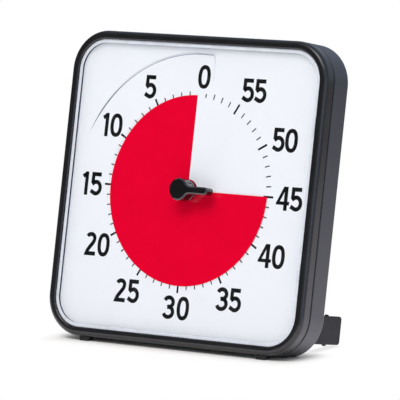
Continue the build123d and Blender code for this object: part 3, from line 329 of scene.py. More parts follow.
def build_groups():
    """Effects that several finishes share."""
    number, vector, colour = "NodeSocketFloat", "NodeSocketVector", "NodeSocketColor"
    tree, given, out = new_group(
        "Moulded Grain",
        {"Place": (vector, None), "Grain Size": (number, 0.0007)},
        {"Height": (number, None)},
    )
    scale = calc(tree, "DIVIDE", 1.0, given.outputs["Grain Size"])
    grain = noise(tree, given.outputs["Place"], scale, detail=3.0, roughness=0.6)
    tree.links.new(grain, out.inputs["Height"])

    tree, given, out = new_group(
        "Handled Surface",
        {
            "Place": (vector, None), "Base": (colour, (0.5, 0.5, 0.5, 1)), "Change": (number, 0.1),
            "Rough": (number, 0.4), "Rough Change": (number, 0.1),
        },
        {"Colour": (colour, None), "Roughness": (number, None)},
    )
    smear = noise(tree, given.outputs["Place"], 55.0, detail=6.0, roughness=0.6, distortion=0.4)
    spread = remap(tree, smear, NOISE_SPAN, (-1.0, 1.0))
    shade = calc(tree, "MULTIPLY_ADD", spread, given.outputs["Change"], 1.0)
    tint = node(
        tree, "ShaderNodeVectorMath", {0: given.outputs["Base"], "Scale": shade}, operation="SCALE",
    )
    rough = calc(tree, "MULTIPLY_ADD", spread, given.outputs["Rough Change"], given.outputs["Rough"])
    tree.links.new(tint.outputs[0], out.inputs["Colour"])
    tree.links.new(rough, out.inputs["Roughness"])

    # band just outside a square with rounded corners, between two heights
    tree, given, out = new_group(
        "Square Band",
        {
            "Place": (vector, None), "Half": (number, 0.087), "Corner": (number, 0.017),
            "Width": (number, 0.001), "Low": (number, 0.0), "High": (number, 0.001),
        },
        {"Mask": (number, None)},
    )
    x, y, _ = split(tree, vector_calc(tree, "ABSOLUTE", given.outputs["Place"]))
    inside = calc(tree, "SUBTRACT", given.outputs["Half"], given.outputs["Corner"])
    over = [calc(tree, "MAXIMUM", calc(tree, "SUBTRACT", side, inside), 0.0) for side in (x, y)]
    length = measure(tree, "LENGTH", join(tree, *over))
    outside = calc(tree, "SUBTRACT", length, given.outputs["Corner"])
    height = split(tree, given.outputs["Place"])["Z"]
    mask = both(
        tree,
        calc(tree, "GREATER_THAN", outside, 0.0),
        calc(tree, "LESS_THAN", outside, given.outputs["Width"]),
        calc(tree, "GREATER_THAN", height, given.outputs["Low"]),
        calc(tree, "LESS_THAN", height, given.outputs["High"]),
    )
    tree.links.new(mask, out.inputs["Mask"])


def new_material(name):
    """Material with a Principled shader; returns it, its tree, the shader and object coordinates."""
    material = bpy.data.materials.new(name)
    material.use_nodes = True
    tree = material.node_tree
    shader = tree.nodes["Principled BSDF"]
    place = node(tree, "ShaderNodeTexCoord").outputs["Object"]
    return material, tree, shader, place


def add_group(tree, name, inputs):
    """Place a shared effect in a material."""
    return node(tree, "ShaderNodeGroup", inputs, node_tree=bpy.data.node_groups[name])


def on_dial(tree, place):
    """Object coordinates turned to the dial's own frame."""
    back = STAND.inverted()
    turned = node(
        tree, "ShaderNodeMapping",
        {"Vector": place, "Rotation": back.to_euler(), "Location": back.translation},
    )
    return turned.outputs[0]


def handle_surface(tree, shader, place, base, change, rough, rough_change):
    """Send an uneven colour and roughness to the shader."""
    surface = add_group(
        tree, "Handled Surface",
        {"Place": place, "Base": base, "Change": change, "Rough": rough, "Rough Change": rough_change},
    )
    tree.links.new(surface.outputs["Colour"], shader.inputs["Base Color"])
    tree.links.new(surface.outputs["Roughness"], shader.inputs["Roughness"])


def add_bump(tree, shader, height, strength, distance):
    """Send a height to the shader's normal."""
    bump = node(tree, "ShaderNodeBump", {"Height": height, "Strength": strength, "Distance": distance})
    tree.links.new(bump.outputs["Normal"], shader.inputs["Normal"])


def add_grain(tree, shader, place, size, depth, strength=0.6):
    """Send the moulded grain to the shader's normal."""
    grain = add_group(tree, "Moulded Grain", {"Place": place, "Grain Size": size})
    add_bump(tree, shader, grain.outputs["Height"], strength, depth)


def moulded(name, colour, rough, grain_size=0.0007, grain_depth=0.00002, change=0.10, rough_change=0.05,
            specular=0.5):
    """Moulded plastic or rubber: fine grain, faint clouding, uneven sheen."""
    material, tree, shader, place = new_material(name)
    handle_surface(tree, shader, place, (*colour, 1), change, rough, rough_change)
    add_grain(tree, shader, place, grain_size, grain_depth)
    shader.inputs["Specular IOR Level"].default_value = specular
    return material


def metal(name, colour, rough, stretch=(1, 1, 1)):
    """Bare metal with fine drawn or turned lines."""
    material, tree, shader, place = new_material(name)
    drawn = node(tree, "ShaderNodeMapping", {"Vector": place, "Scale": stretch}).outputs[0]
    handle_surface(tree, shader, place, (*colour, 1), change=0.08, rough=rough, rough_change=0.08)
    lines = noise(tree, drawn, 900.0, detail=4.0, roughness=0.6)
    add_bump(tree, shader, lines, strength=0.4, distance=0.00001)
    shader.inputs["Metallic"].default_value = 1.0
    return material


def before_bounce(tree, path, *kinds):
    """Mask of the rays that haven't bounced off a surface in the named ways."""
    return both(tree, *(calc(tree, "LESS_THAN", path[kind + " Depth"], 0.5) for kind in kinds))


def let_light_through(tree, shader, tint):
    """Light on its way to a surface behind passes straight through."""
    passing = node(tree, "ShaderNodeBsdfTransparent", {"Color": tint})
    path = node(tree, "ShaderNodeLightPath").outputs
    bounced = either(tree, path["Is Shadow Ray"], path["Is Diffuse Ray"], path["Is Glossy Ray"])
    mix = node(tree, "ShaderNodeMixShader", {0: bounced, 1: shader.outputs[0], 2: passing.outputs[0]})
    tree.links.new(mix.outputs[0], tree.nodes["Material Output"].inputs["Surface"])


# Painted shade at the lens step: two dark lines tinted into the clear plastic, in millimetres: half width of
# their square, width, and lower and upper ends. The second stands a little to the right.
STEP_LINE = (STEP_HALF - 0.09, 0.40, 2.63, 3.46)
STEP_FOOT = (STEP_HALF, 0.75, 2.55, 3.46)
FOOT_SHIFT = 0.45
CLEAR_TINT = (0.992, 0.996, 1.0, 1)
CLEAR_PASSING = (0.965, 0.972, 0.985, 1)
STEP_PAINTED_SHADE = (0.004, 0.007, 0.022, 1)


def step_band(tree, place, half, width, low, high):
    """Mask of a line that runs round the lens step."""
    return add_group(tree, "Square Band", {
        "Place": place, "Half": half * MM, "Corner": STEP_CORNER * MM, "Width": width * MM,
        "Low": low * MM, "High": high * MM,
    }).outputs["Mask"]


def clear_plastic(name):
    """Clear moulded acrylic that lets lamp light through to the dial; its step is tinted dark as painted
    shade.
    """
    material, tree, shader, place = new_material(name)
    rough = remap(tree, noise(tree, place, 60.0, detail=4.0), NOISE_SPAN, (0.01, 0.03))
    tree.links.new(rough, shader.inputs["Roughness"])
    dial_place = on_dial(tree, place)
    shifted = vector_calc(tree, "ADD", dial_place, (-FOOT_SHIFT * MM, 0, 0))
    dark = either(tree, step_band(tree, dial_place, *STEP_LINE), step_band(tree, shifted, *STEP_FOOT))
    tree.links.new(blend(tree, dark, CLEAR_TINT, STEP_PAINTED_SHADE), shader.inputs["Base Color"])
    shader.inputs["Transmission Weight"].default_value = 1.0
    shader.inputs["IOR"].default_value = 1.49
    let_light_through(tree, shader, CLEAR_PASSING)
    return material


# Painted light on the window: a partly see-through matt white film gives the clear border and collar their
# brightness; its colour, and the range over which each hides what is behind it
BRIGHT_FILM_COLOUR = (0.65, 0.69, 0.77, 1)
BRIGHT_FILM_PASSING = (0.93, 0.94, 0.96, 1)
BORDER_COVER = (0.55, 0.80)
COLLAR_COVER = (0.80, 0.95)


def frosted(name, cover):
    """Painted light on clear acrylic: a matt white film, white where lamp light falls on it, and partly
    see-through.
    """
    material, tree, shader, place = new_material(name)
    handle_surface(tree, shader, place, BRIGHT_FILM_COLOUR, change=0.04, rough=0.35, rough_change=0.05)
    streaks = noise(tree, place, 120.0, detail=4.0)
    tree.links.new(remap(tree, streaks, NOISE_SPAN, cover), shader.inputs["Alpha"])
    add_grain(tree, shader, place, 0.0004, 0.00001)
    let_light_through(tree, shader, BRIGHT_FILM_PASSING)
    return material


def dress(material, *names):
    """Give CAD nodes a finish."""
    for name in names:
        slots = frame["nodes"][name].data.materials
        if len(slots) == 0:
            slots.append(material)
        for index in range(len(slots)):
            slots[index] = material


# ---------------------------------------------------------------- dial print
def clock_angle(x, y):
    """Degrees counter-clockwise from the zero mark."""
    return math.degrees(math.atan2(-x, y)) % 360


def card_level(x, y):
    """Height of the card's face at a place on the dial, in millimetres."""
    radius, angle = math.hypot(x, y), clock_angle(x, y)
    if radius < RAMP_RADIUS:
        share = angle / RAMP_END
    elif radius < WELL_RADIUS:
        share = angle / WELL_END
        if 0 < x < WELL_RIGHT and y > RAMP_RADIUS:
            share = 0.0
    else:
        share = 1.0
    return CARD_TOP - SLIT_DEPTH * (1 - min(share, 1.0))


def arc(centre_x, centre_y, radius_x, radius_y, start, end, steps=14):
    """Points along an arc, angles in degrees."""
    angles = [math.radians(start + (end - start) * step / steps) for step in range(steps + 1)]
    return [(centre_x + radius_x * math.cos(a), centre_y + radius_y * math.sin(a)) for a in angles]


def rounded_square(half, corner):
    """Points round a square with rounded corners."""
    inside = half - corner
    points = []
    for index, (x, y) in enumerate(((1, 1), (-1, 1), (-1, -1), (1, -1))):
        points += arc(x * inside, y * inside, corner, corner, 90 * index, 90 * index + 90)
    return points


def flat_ring(outer, inner, sheet=0.015):
    """Thin flat ring between two loops with as many points each."""
    ring = bmesh.new()
    edges = []
    for loop in (outer, inner):
        points = [ring.verts.new((x, y, 0)) for x, y in loop]
        edges += [ring.edges.new(pair) for pair in zip(points, points[1:] + points[:1])]
    bmesh.ops.bridge_loops(ring, edges=edges)
    thicken(ring, sheet)
    return ring


def figure_strokes(stroke):
    """Centre lines of the figures, as shares of their height: open lines, or closed where the end meets."""
    wide, high, half = 0.625 - stroke, 1 - stroke, stroke / 2
    middle = wide / 2
    oval = []
    for step in range(44):
        a = math.tau * step / 44
        c, s = math.cos(a), math.sin(a)
        power = 2 / 2.35
        oval.append((
            middle + middle * math.copysign(abs(c) ** power, c),
            high / 2 + high / 2 * math.copysign(abs(s) ** power, s),
        ))
    upper, lower = 0.245 * high, 0.262 * high
    return {
        "0": [oval + oval[:1]],
        "1": [
            [(middle + 0.02, -half), (middle + 0.02, high + half)],
            [(middle + 0.03, high + 0.01), (middle - 0.18, high - 0.125)],
        ],
        "2": [
            arc(0.189, 0.665, 0.189, high - 0.665, 160, 0)
            + [(0.374, 0.60), (0.346, 0.518), (0.290, 0.435), (0.215, 0.345), (0.130, 0.245), (0.060, 0.142)]
            + [(0.015, 0.045), (0.0, 0.0), (0.470, 0.0)]
        ],
        "3": [
            arc(0.215, high - upper, 0.217, upper, 160, -90) + [(0.150, high - 2 * upper)],
            [(0.150, 2 * lower - 0.02)] + arc(0.215, lower, 0.238, lower, 90, -160),
        ],
        "5": [
            [(0.520, high), (0.108, high), (0.097, 0.43)],
            [(0.072, 0.385)] + arc(0.283, 0.250, 0.223, 0.250, 126, -122) + [(0.018, 0.112)],
        ],
    }


# Filled parts of a figure, as shares of its height from its lower left corner
FIGURE_PLATES = {
    "4": [
        [(0.0, 0.235), (0.0, 0.300), (0.345, 1.0), (0.500, 1.0), (0.190, 0.370), (0.190, 0.235)],
        [(0.100, 0.235), (0.660, 0.235), (0.660, 0.378), (0.160, 0.378)],
        [(0.387, 0.0), (0.562, 0.0), (0.562, 1.0), (0.387, 1.0)],
    ],
}


def figure_mesh(lines, plates, stroke, height, ink):
    """One figure as thin solid ink, with its left edge at zero and its middle on the X axis."""
    figure = bmesh.new()
    for outline in plates:
        plate = bmesh.new()
        plate.faces.new([plate.verts.new((x * height, (y - 0.5) * height, 0)) for x, y in outline])
        thicken(plate, ink)
        add_copy(figure, plate, Matrix())
        plate.free()
    for line in lines:
        closed = line[0] == line[-1]
        ribbon = bmesh.new()
        points = [ribbon.verts.new((x * height, y * height, 0)) for x, y in (line[:-1] if closed else line)]
        pairs = list(zip(points, points[1:])) + ([(points[-1], points[0])] if closed else [])
        edges = [ribbon.edges.new(pair) for pair in pairs]
        walls = bmesh.ops.extrude_edge_only(ribbon, edges=edges)
        raised = [v for v in walls["geom"] if isinstance(v, bmesh.types.BMVert)]
        bmesh.ops.translate(ribbon, verts=raised, vec=(0, 0, ink))
        ribbon = with_modifier(
            ribbon, "SOLIDIFY", thickness=stroke * height, offset=0.0, use_even_offset=True, use_rim=True,
        )
        bmesh.ops.recalc_face_normals(ribbon, faces=ribbon.faces)
        add_copy(figure, ribbon, Matrix.Translation((stroke * height / 2, (stroke - 1) * height / 2, 0)))
        ribbon.free()
    left = min(v.co.x for v in figure.verts)
    bmesh.ops.translate(figure, verts=figure.verts, vec=(-left, 0, 0))
    return figure


DISC_RADIUS = 58.6
# Where the middle of each number is printed, in disc radii from the shaft
NUMBER_PLACES = {
    0: (0.0539, 1.1951), 5: (-0.6164, 1.0553), 10: (-1.0599, 0.6268), 15: (-1.2426, -0.008),
    20: (-1.0924, -0.6428), 25: (-0.6441, -1.1004), 30: (0.0024, -1.2277), 35: (0.6544, -1.0901),
    40: (1.1266, -0.6046), 45: (1.2748, -0.0025), 50: (1.1482, 0.5949), 55: (0.7048, 1.083),
}
# Space between the two figures of a number, in millimetres
FIGURE_GAPS = {
    "10": 1.55, "15": 1.85, "20": 1.35, "25": 1.4, "30": 1.5,
    "35": 0.7, "40": 0.6, "45": 0.5, "50": 0.2, "55": 0.15,
}
# Thickness of the print, in millimetres
INK = 0.03


def lay_on_card(printed):
    """Drop printed shapes onto the card, following its ramp and well."""
    for vertex in printed.verts:
        vertex.co.z += card_level(vertex.co.x, vertex.co.y)


def print_numbers(look):
    """All the numbers round the dial as one bmesh."""
    height = look.figure_height / MM
    strokes = figure_strokes(look.figure_stroke)
    figures = {
        name: figure_mesh(strokes.get(name, ()), FIGURE_PLATES.get(name, ()), look.figure_stroke, height, INK)
        for name in "012345"
    }
    widths = {name: max(v.co.x for v in figure.verts) for name, figure in figures.items()}
    printed = bmesh.new()
    for number, (x, y) in NUMBER_PLACES.items():
        text = str(number)
        gap = FIGURE_GAPS.get(text, 0.0)
        length = sum(widths[c] for c in text) + gap * (len(text) - 1)
        left = x * DISC_RADIUS - length / 2
        for character in text:
            add_copy(printed, figures[character], Matrix.Translation((left, y * DISC_RADIUS, 0)))
            left += widths[character] + gap
    for figure in figures.values():
        figure.free()
    return printed


# Inner end, outer end and half width of the five-minute marks and the others, in disc radii
MAJOR_MARK = (0.954, 1.074, 0.0112)
MINOR_MARK = (0.98, 1.04, 0.0063)
# Half the width, in millimetres, of the step where a mark climbs from the ramp to the card
STEP_EDGE = 0.01


def print_ticks():
    """Minute marks, longer and thicker every five minutes, none at zero."""
    printed = bmesh.new()
    for minute in range(1, 60):
        inner, outer, half_width = [
            value * DISC_RADIUS for value in (MAJOR_MARK if minute % 5 == 0 else MINOR_MARK)
        ]
        cuts = (inner, RAMP_RADIUS - STEP_EDGE, RAMP_RADIUS + STEP_EDGE, outer)
        tick = bmesh.new()
        bmesh.ops.create_grid(tick, x_segments=1, y_segments=3, size=1)
        for vertex in tick.verts:
            row = round((vertex.co.y + 1) * 1.5)
            vertex.co = (half_width * vertex.co.x, cuts[row], INK)
        thicken(tick, -INK)
        add_copy(printed, tick, Matrix.Rotation(math.radians(6 * minute), 4, "Z"))
        tick.free()
    return printed


# Painted shadow at the foot of the recess wall, a dark line laid on the card: its left end in degrees from
# the zero mark; in millimetres its radius, its width and how far it nears the wall; the share by which it
# widens;
# and, again in millimetres, its radius in the corner and its place down the right side
LINE_START = 68
LINE_RADIUS = 83.9
LINE_WIDTH = 0.58
LINE_DRIFT = 0.6
LINE_SPREAD = 0.35
CORNER_LINE = 2.1
SIDE_LINE = WELL_RIGHT - 0.3


def recess_path():
    """Foot of the recess wall: places on the dial, the way across the line there and its width."""
    path = []
    # Along the wall, which it nears past 12 degrees. It widens from 45 to 52 and tapers over the last 11.
    for angle in range(LINE_START, 2, -1):
        radius = LINE_RADIUS + LINE_DRIFT * max(0.0, (angle - 12) / 54) ** 1.2
        spread = 1 + LINE_SPREAD * min(1.0, max(0.0, (angle - 45) / 7))
        taper = min(1.0, (LINE_START + 1 - angle) / 11)
        a = math.radians(90 + angle)
        path.append((radius * math.cos(a), radius * math.sin(a), a, LINE_WIDTH * spread * taper))
    # Across the zero mark, round the corner and some way down the right side
    for angle in range(2, -6, -1):
        a = math.radians(90 + angle)
        path.append((LINE_RADIUS * math.cos(a), LINE_RADIUS * math.sin(a), a, 1.15 * LINE_WIDTH))
    centre_x = WELL_RIGHT - WELL_CORNER
    centre_y = math.sqrt((WELL_RADIUS - WELL_CORNER) ** 2 - centre_x ** 2)
    top = math.atan2(centre_y, centre_x)
    for step in range(1, 13):
        a = top * (1 - step / 12)
        x, y = centre_x + CORNER_LINE * math.cos(a), centre_y + CORNER_LINE * math.sin(a)
        path.append((x, y, a, 0.5 - 0.02 * step))
    for step in range(1, 9):
        path.append((SIDE_LINE, centre_y - 2.2 * step, 0.0, 0.30 - 0.025 * step))
    return path


def print_recess_line():
    """Painted shadow at the foot of the recess wall: a dark strip, thin as a printed line."""
    path = recess_path()
    line = bmesh.new()
    bmesh.ops.create_grid(line, x_segments=len(path) - 1, y_segments=1, size=1)
    for vertex in line.verts:
        x, y, way, width = path[round((vertex.co.x + 1) / 2 * (len(path) - 1))]
        side = width / 2 * (1 if vertex.co.y > 0 else -1)
        vertex.co = (x + side * math.cos(way), y + side * math.sin(way), INK)
    thicken(line, INK)
    return line


# Tones of that painted shadow, and the places across the dial, in metres, between which one turns into the
# other
PAINTED_SHADOW_TONE = (0.36, 0.385, 0.46, 1)
PAINTED_SHADOW_END_TONE = (0.135, 0.145, 0.185, 1)
SHADE_SPAN = (-0.046, -0.062)


def recess_shade():
    """Colour of the painted recess shadow, darker towards its left end."""
    material, tree, shader, place = new_material("recess_shade")
    left = remap(tree, split(tree, on_dial(tree, place))["X"], SHADE_SPAN, (0.0, 1.0))
    shade = blend(tree, left, PAINTED_SHADOW_TONE, PAINTED_SHADOW_END_TONE)
    handle_surface(tree, shader, place, shade, change=0.10, rough=0.6, rough_change=0.05)
    add_grain(tree, shader, place, 0.0008, 0.000004)
    shader.inputs["Specular IOR Level"].default_value = 0.1
    return material


# ---------------------------------------------------------------- operators
class TIMER_OT_finishes(bpy.types.Operator):
    """Build the shared surface effects"""

    bl_idname = "timer.finishes"
    bl_label = "Surface effects"

    def execute(self, context):
        build_groups()
        return {"FINISHED"}


# The legs' colour as a share of the shell's
LEG_SHADE = 0.3


class TIMER_OT_case(bpy.types.Operator):
    """Finish the bezel, shell, legs, feet, door and slider"""

    bl_idname = "timer.case"
    bl_label = "Case"

    def execute(self, context):
        look = context.scene.timer_case_look
        bezel = moulded(
            "bezel_black", look.bezel_colour, 0.25, look.grain_size, grain_depth=0.000008, change=0.15,
            rough_change=0.03, specular=0.42,
        )
        shell = moulded(
            "shell_charcoal", look.shell_colour, 0.42, look.grain_size, grain_depth=0.000025, change=0.06,
            rough_change=0.02,
        )
        leg_colour = [LEG_SHADE * value for value in look.shell_colour]
        leg = moulded(
            "leg_charcoal", leg_colour, 0.45, look.grain_size, grain_depth=0.000025, specular=0.14,
        )
        foot = moulded("foot_rubber", (0.008, 0.008, 0.009), 0.72, 0.0005, grain_depth=0.00004, change=0.12)
        slider = moulded("slider_black", (0.012, 0.012, 0.013), 0.35)
        dress(bezel, "front_bezel")
        dress(shell, "rear_shell", "battery_door")
        dress(leg, "right_leg", "left_leg")
        dress(foot, "front_feet")
        dress(slider, "alert_slider")
        return {"FINISHED"}


# Tabs on the lens border, in millimetres: their distance from the middle, how far up and down the side ones
# stand and how far to the right the end ones, the lengths of both, and the width and height of all
TAB_REACH = 88.35
TAB_UP = 44.0
TAB_ALONG = 1.5
SIDE_TAB = 11.3
END_TAB = 15.0
TAB_WIDTH = 1.5
TAB_HEIGHT = 0.55
# Painted glint on the lens collar: radii of its matt white ring, in millimetres
COLLAR_RADII = (6.25, 4.95)


def lens_tabs():
    """Six rounded blocks, two on each side of the border and one at either end."""
    places = [(x, y, SIDE_TAB, True) for x in (-TAB_REACH, TAB_REACH) for y in (-TAB_UP, TAB_UP)]
    places += [(TAB_ALONG, y, END_TAB, False) for y in (-TAB_REACH, TAB_REACH)]
    tabs = bmesh.new()
    for x, y, length, upright in places:
        tab = bmesh.new()
        bmesh.ops.create_cube(tab, size=1)
        flat = (TAB_WIDTH, length) if upright else (length, TAB_WIDTH)
        bmesh.ops.scale(tab, verts=tab.verts, vec=(*flat, TAB_HEIGHT))
        bmesh.ops.bevel(
            tab, geom=tab.edges[:], offset=0.2, segments=3, profile=0.5, affect="EDGES", material=-1,
        )
        smooth_by_angle(tab)
        add_copy(tabs, tab, Matrix.Translation((x, y, BORDER_TOP + TAB_HEIGHT / 2)))
        tab.free()
    return tabs


class TIMER_OT_lens(bpy.types.Operator):
    """Finish the clear window, add its retaining tabs, and paint light on its border and a glint on its
    collar with matt white films
    """

    bl_idname = "timer.lens"
    bl_label = "Lens"

    def execute(self, context):
        dress(clear_plastic("lens_clear"), "clear_lens")
        tabs = lens_tabs()
        # Painted light: a matt white film on the border's front face stands in for its brightness; the tabs
        # share it
        frost = frosted("lens_painted_light", BORDER_COVER)
        finish_piece("lens_tabs", tabs, "case", frost)
        # Painted glint: a matt white ring on the collar top
        glint_film = frosted("collar_glint_paint", COLLAR_COVER)
        rim = flat_ring(
            rounded_square(OPENING_HALF, OPENING_CORNER), rounded_square(STEP_HALF, STEP_CORNER),
        )
        bmesh.ops.translate(rim, verts=rim.verts, vec=(0, 0, BORDER_TOP))
        finish_piece("lens_rim_painted_light", rim, "case", frost)
        collar = flat_ring(*(arc(0, 0, radius, radius, 0, 355, 71) for radius in COLLAR_RADII))
        bmesh.ops.translate(collar, verts=collar.verts, vec=(0, 0, COLLAR_TOP))
        finish_piece("lens_collar_glint_ring", collar, "case", glint_film)
        return {"FINISHED"}


class TIMER_OT_dial(bpy.types.Operator):
    """Finish the card and its tray, print the figures and minute marks, and paint the shadow at the recess
    wall's foot
    """

    bl_idname = "timer.dial"
    bl_label = "Dial"

    def execute(self, context):
        look = context.scene.timer_dial_look
        card = moulded(
            "card_white", look.card_colour, 0.5, 0.0011, grain_depth=0.000004, change=0.010,
            rough_change=0.03, specular=0.25,
        )
        ink = moulded(
            "ink_black", look.print_colour, 0.5, 0.0004, grain_depth=0.000004, change=0.25, specular=0.15,
        )
        tray = moulded("tray_black", (0.02, 0.02, 0.022), 0.5)
        dress(card, "dial_card")
        dress(tray, "dial_chassis")
        numbers = print_numbers(look)
        lay_on_card(numbers)
        finish_piece("dial_numbers", numbers, "case", ink)
        ticks = print_ticks()
        lay_on_card(ticks)
        finish_piece("minute_marks", ticks, "case", ink)
        # Painted shadow: a dark strip along the foot of the recess wall
        recess = print_recess_line()
        lay_on_card(recess)
        finish_piece("recess_shadow_line", recess, "case", recess_shade())
        return {"FINISHED"}


# The share of light that the red film lets through, and its colour
FILM_CLEAR = 0.14
FILM_TINT = (0.90, 0.0, 0.022, 1)


class TIMER_OT_disc(bpy.types.Operator):
    """Finish the red sheet and its hub"""

    bl_idname = "timer.disc"
    bl_label = "Disc"

    def execute(self, context):
        look = context.scene.timer_dial_look
        film = moulded(
            "disc_film", look.disc_colour, 0.6, 0.0009, grain_depth=0.000004, change=0.03,
            rough_change=0.04, specular=0.02,
        )
        tree = film.node_tree
        through = node(tree, "ShaderNodeBsdfTransparent", {"Color": FILM_TINT})
        opaque = tree.nodes["Principled BSDF"].outputs[0]
        mix = node(tree, "ShaderNodeMixShader", {0: FILM_CLEAR, 1: opaque, 2: through.outputs[0]})
        tree.links.new(mix.outputs[0], tree.nodes["Material Output"].inputs["Surface"])
        hub = moulded("hub_red", (0.15, 0.001, 0.006), 0.22, 0.0006, grain_depth=0.000008)
        dress(film, "red_disc")
        dress(hub, "disc_hub")
        return {"FINISHED"}


KNOB_COLOUR = (0.0050, 0.0050, 0.0054, 1)
# Heights in the dial frame between which the knob's gloss ends, in metres
KNOB_GLOSS_END = (0.01220, 0.01228)


class TIMER_OT_knob(bpy.types.Operator):
    """Finish the setting knob: matt front, glossy sides"""

    bl_idname = "timer.knob"
    bl_label = "Knob"

    def execute(self, context):
        material, tree, shader, place = new_material("knob_black")
        handle_surface(tree, shader, place, KNOB_COLOUR, change=0.2, rough=0.45, rough_change=0.04)
        height = split(tree, on_dial(tree, place))["Z"]
        tree.links.new(remap(tree, height, KNOB_GLOSS_END, (1.0, 0.0)), shader.inputs["Coat Weight"])
        shader.inputs["Coat Roughness"].default_value = 0.12
        shader.inputs["Specular IOR Level"].default_value = 0.12
        add_grain(tree, shader, place, 0.0004, 0.000012, strength=0.5)
        dress(material, "knob")
        return {"FINISHED"}


class TIMER_OT_movement(bpy.types.Operator):
    """Finish the movement, the electronics and the battery"""

    bl_idname = "timer.movement"
    bl_label = "Movement"

    def execute(self, context):
        steel = metal("turned_steel", (0.62, 0.63, 0.65), 0.28)
        brass = metal("stamped_brass", (0.76, 0.60, 0.28), 0.30)
        copper = metal("enamelled_copper", (0.72, 0.30, 0.12), 0.25, (6, 0.3, 0.3))
        iron = metal("stator_iron", (0.30, 0.30, 0.32), 0.42)
        acetal = moulded("white_acetal", (0.80, 0.80, 0.77), 0.35, 0.0005, grain_depth=0.00001)
        grey = moulded("movement_grey", (0.05, 0.05, 0.06), 0.45)
        epoxy = moulded("chip_epoxy", (0.012, 0.012, 0.012), 0.5, 0.0002, grain_depth=0.00001)
        board = moulded("board_green", (0.01, 0.10, 0.03), 0.3, 0.002, change=0.25)
        jacket = moulded("cell_jacket", (0.06, 0.07, 0.09), 0.18, 0.004, grain_depth=0.000005)
        dress(steel, "timer_shaft", "quartz_crystal", "switch_body", "battery_spring", "leg_pins")
        dress(brass, "clutch_spring", "positive_contact", "negative_contact")
        dress(copper, "coil_winding")
        dress(iron, "stator")
        dress(acetal, "centre_wheel", "third_wheel", "fourth_wheel", "idler_wheel", "rotor", "coil_bobbin")
        dress(grey, "movement_base", "movement_cover")
        dress(epoxy, "controller_chip", "sounder")
        dress(board, "circuit_board")
        dress(jacket, "battery")
        return {"FINISHED"}


# Thread: distance between ridges in millimetres, and the root as a share of the shank
THREAD_RIDGE = 0.5
THREAD_ROOT = 0.86


def cross_cutter(head_radius, head_height, top):
    """Two crossed blocks that narrow downwards, with their middle at the top of the head."""
    cutter = bmesh.new()
    for turn in (0, 90):
        slot = bmesh.new()
        bmesh.ops.create_cube(slot, size=1)
        size = (head_radius * 1.15, head_radius * 0.28, head_height * 1.3)
        bmesh.ops.scale(slot, verts=slot.verts, vec=size)
        for vertex in slot.verts:
            if vertex.co.z < 0:
                vertex.co.x *= 0.45
        add_copy(cutter, slot, Matrix.Translation((0, 0, top)) @ Matrix.Rotation(math.radians(turn), 4, "Z"))
        slot.free()
    return cutter


def cross_head_screw(shank_radius, shank_length, head_radius, head_height, edge):
    """Pan-head screw standing on its tip, head up, with a cross recess and thread ridges."""
    profile = [(0, 0), (shank_radius * 0.55, 0), (shank_radius, THREAD_RIDGE)]
    for turn in range(int(shank_length / THREAD_RIDGE) - 2):
        low = THREAD_RIDGE * (1.2 + turn)
        profile += [(shank_radius * THREAD_ROOT, low), (shank_radius, low + THREAD_RIDGE / 2)]
    profile += [(shank_radius, shank_length), (head_radius, shank_length)]
    top = shank_length + head_height
    for degrees in range(0, 91, 18):
        a = math.radians(degrees)
        profile.append((head_radius - edge + edge * math.cos(a), top - edge + edge * math.sin(a)))
    profile.append((0, top))
    screw = revolve(profile, 32)
    cross = add_object("cross", as_mesh("cross", cross_cutter(head_radius, head_height, top)))
    screw = with_modifier(
        screw, "BOOLEAN", object=cross, operation="DIFFERENCE", solver="EXACT", use_self=True,
    )
    bpy.data.objects.remove(cross)
    smooth_by_angle(screw)
    return screw


# Screws that replace plain ones, in millimetres: height of the seat, places, shank radius and length, and
# head radius, height and edge
SCREW_KINDS = {
    "case_screws": (-15.0, [(x, y) for x in (-78, 78) for y in (-54, 54)], 1.25, 9.8, 2.5, 1.8, 0.6),
    "movement_screws": (-5.5, [(x, y) for x in (-34, 34) for y in (-26, 14)], 1.1, 2.5, 2.2, 1.1, 0.4),
}


class TIMER_OT_screws(bpy.types.Operator):
    """Model the case screws and the movement screws with cross recesses"""

    bl_idname = "timer.screws"
    bl_label = "Screws"

    def execute(self, context):
        zinc = metal("screw_zinc", (0.52, 0.53, 0.55), 0.30)
        facing_back = Matrix.Rotation(math.pi, 4, "X")
        for name, (seat, places, radius, length, *head) in SCREW_KINDS.items():
            screws = bmesh.new()
            screw = cross_head_screw(radius, length, *head)
            for x, y in places:
                add_copy(screws, screw, Matrix.Translation((x, y, seat + length)) @ facing_back)
            screw.free()
            finish_piece("dressed_" + name, screws, "case", zinc, (name,))
        return {"FINISHED"}


# Turn and place of the camera in the dial frame, in disc radii
CAMERA_TURN = Matrix((
    (0.81466, 0.10441, -0.57046),
    (-0.06742, 0.99404, 0.08566),
    (0.57600, -0.03132, 0.81685),
))
CAMERA_SHIFT = Vector((-0.1160, 0.0970, -43.443))
CAMERA_SWING = -0.25
CAMERA_LENS = 375.4


def add_camera():
    """Long lens, to the right of the timer and a little above it."""
    data = bpy.data.cameras.new("camera")
    data.lens = CAMERA_LENS
    data.sensor_width = 36.0
    data.clip_end = 50.0
    camera = add_object("camera", data)
    turn = Matrix.Rotation(math.radians(CAMERA_SWING), 3, "Y") @ CAMERA_TURN.transposed()
    place = Matrix.Translation(-(turn @ CAMERA_SHIFT) * DISC_RADIUS * MM) @ turn.to_4x4()
    view = STAND @ place
    camera.location = view.translation
    camera.rotation_mode = "QUATERNION"
    camera.rotation_quaternion = view.to_quaternion()
    bpy.context.scene.camera = camera


# Lamps: direction in the dial frame, distance, size and colour
KEY_LAMP = ((0.07, 0.667, 0.744), 5.2, (2.8, 2.2), (1.0, 0.975, 0.94))
EDGE_LAMP = ((0.488, 0.606, 0.626), 2.6, (0.35, 0.35), (1.0, 0.96, 0.90))


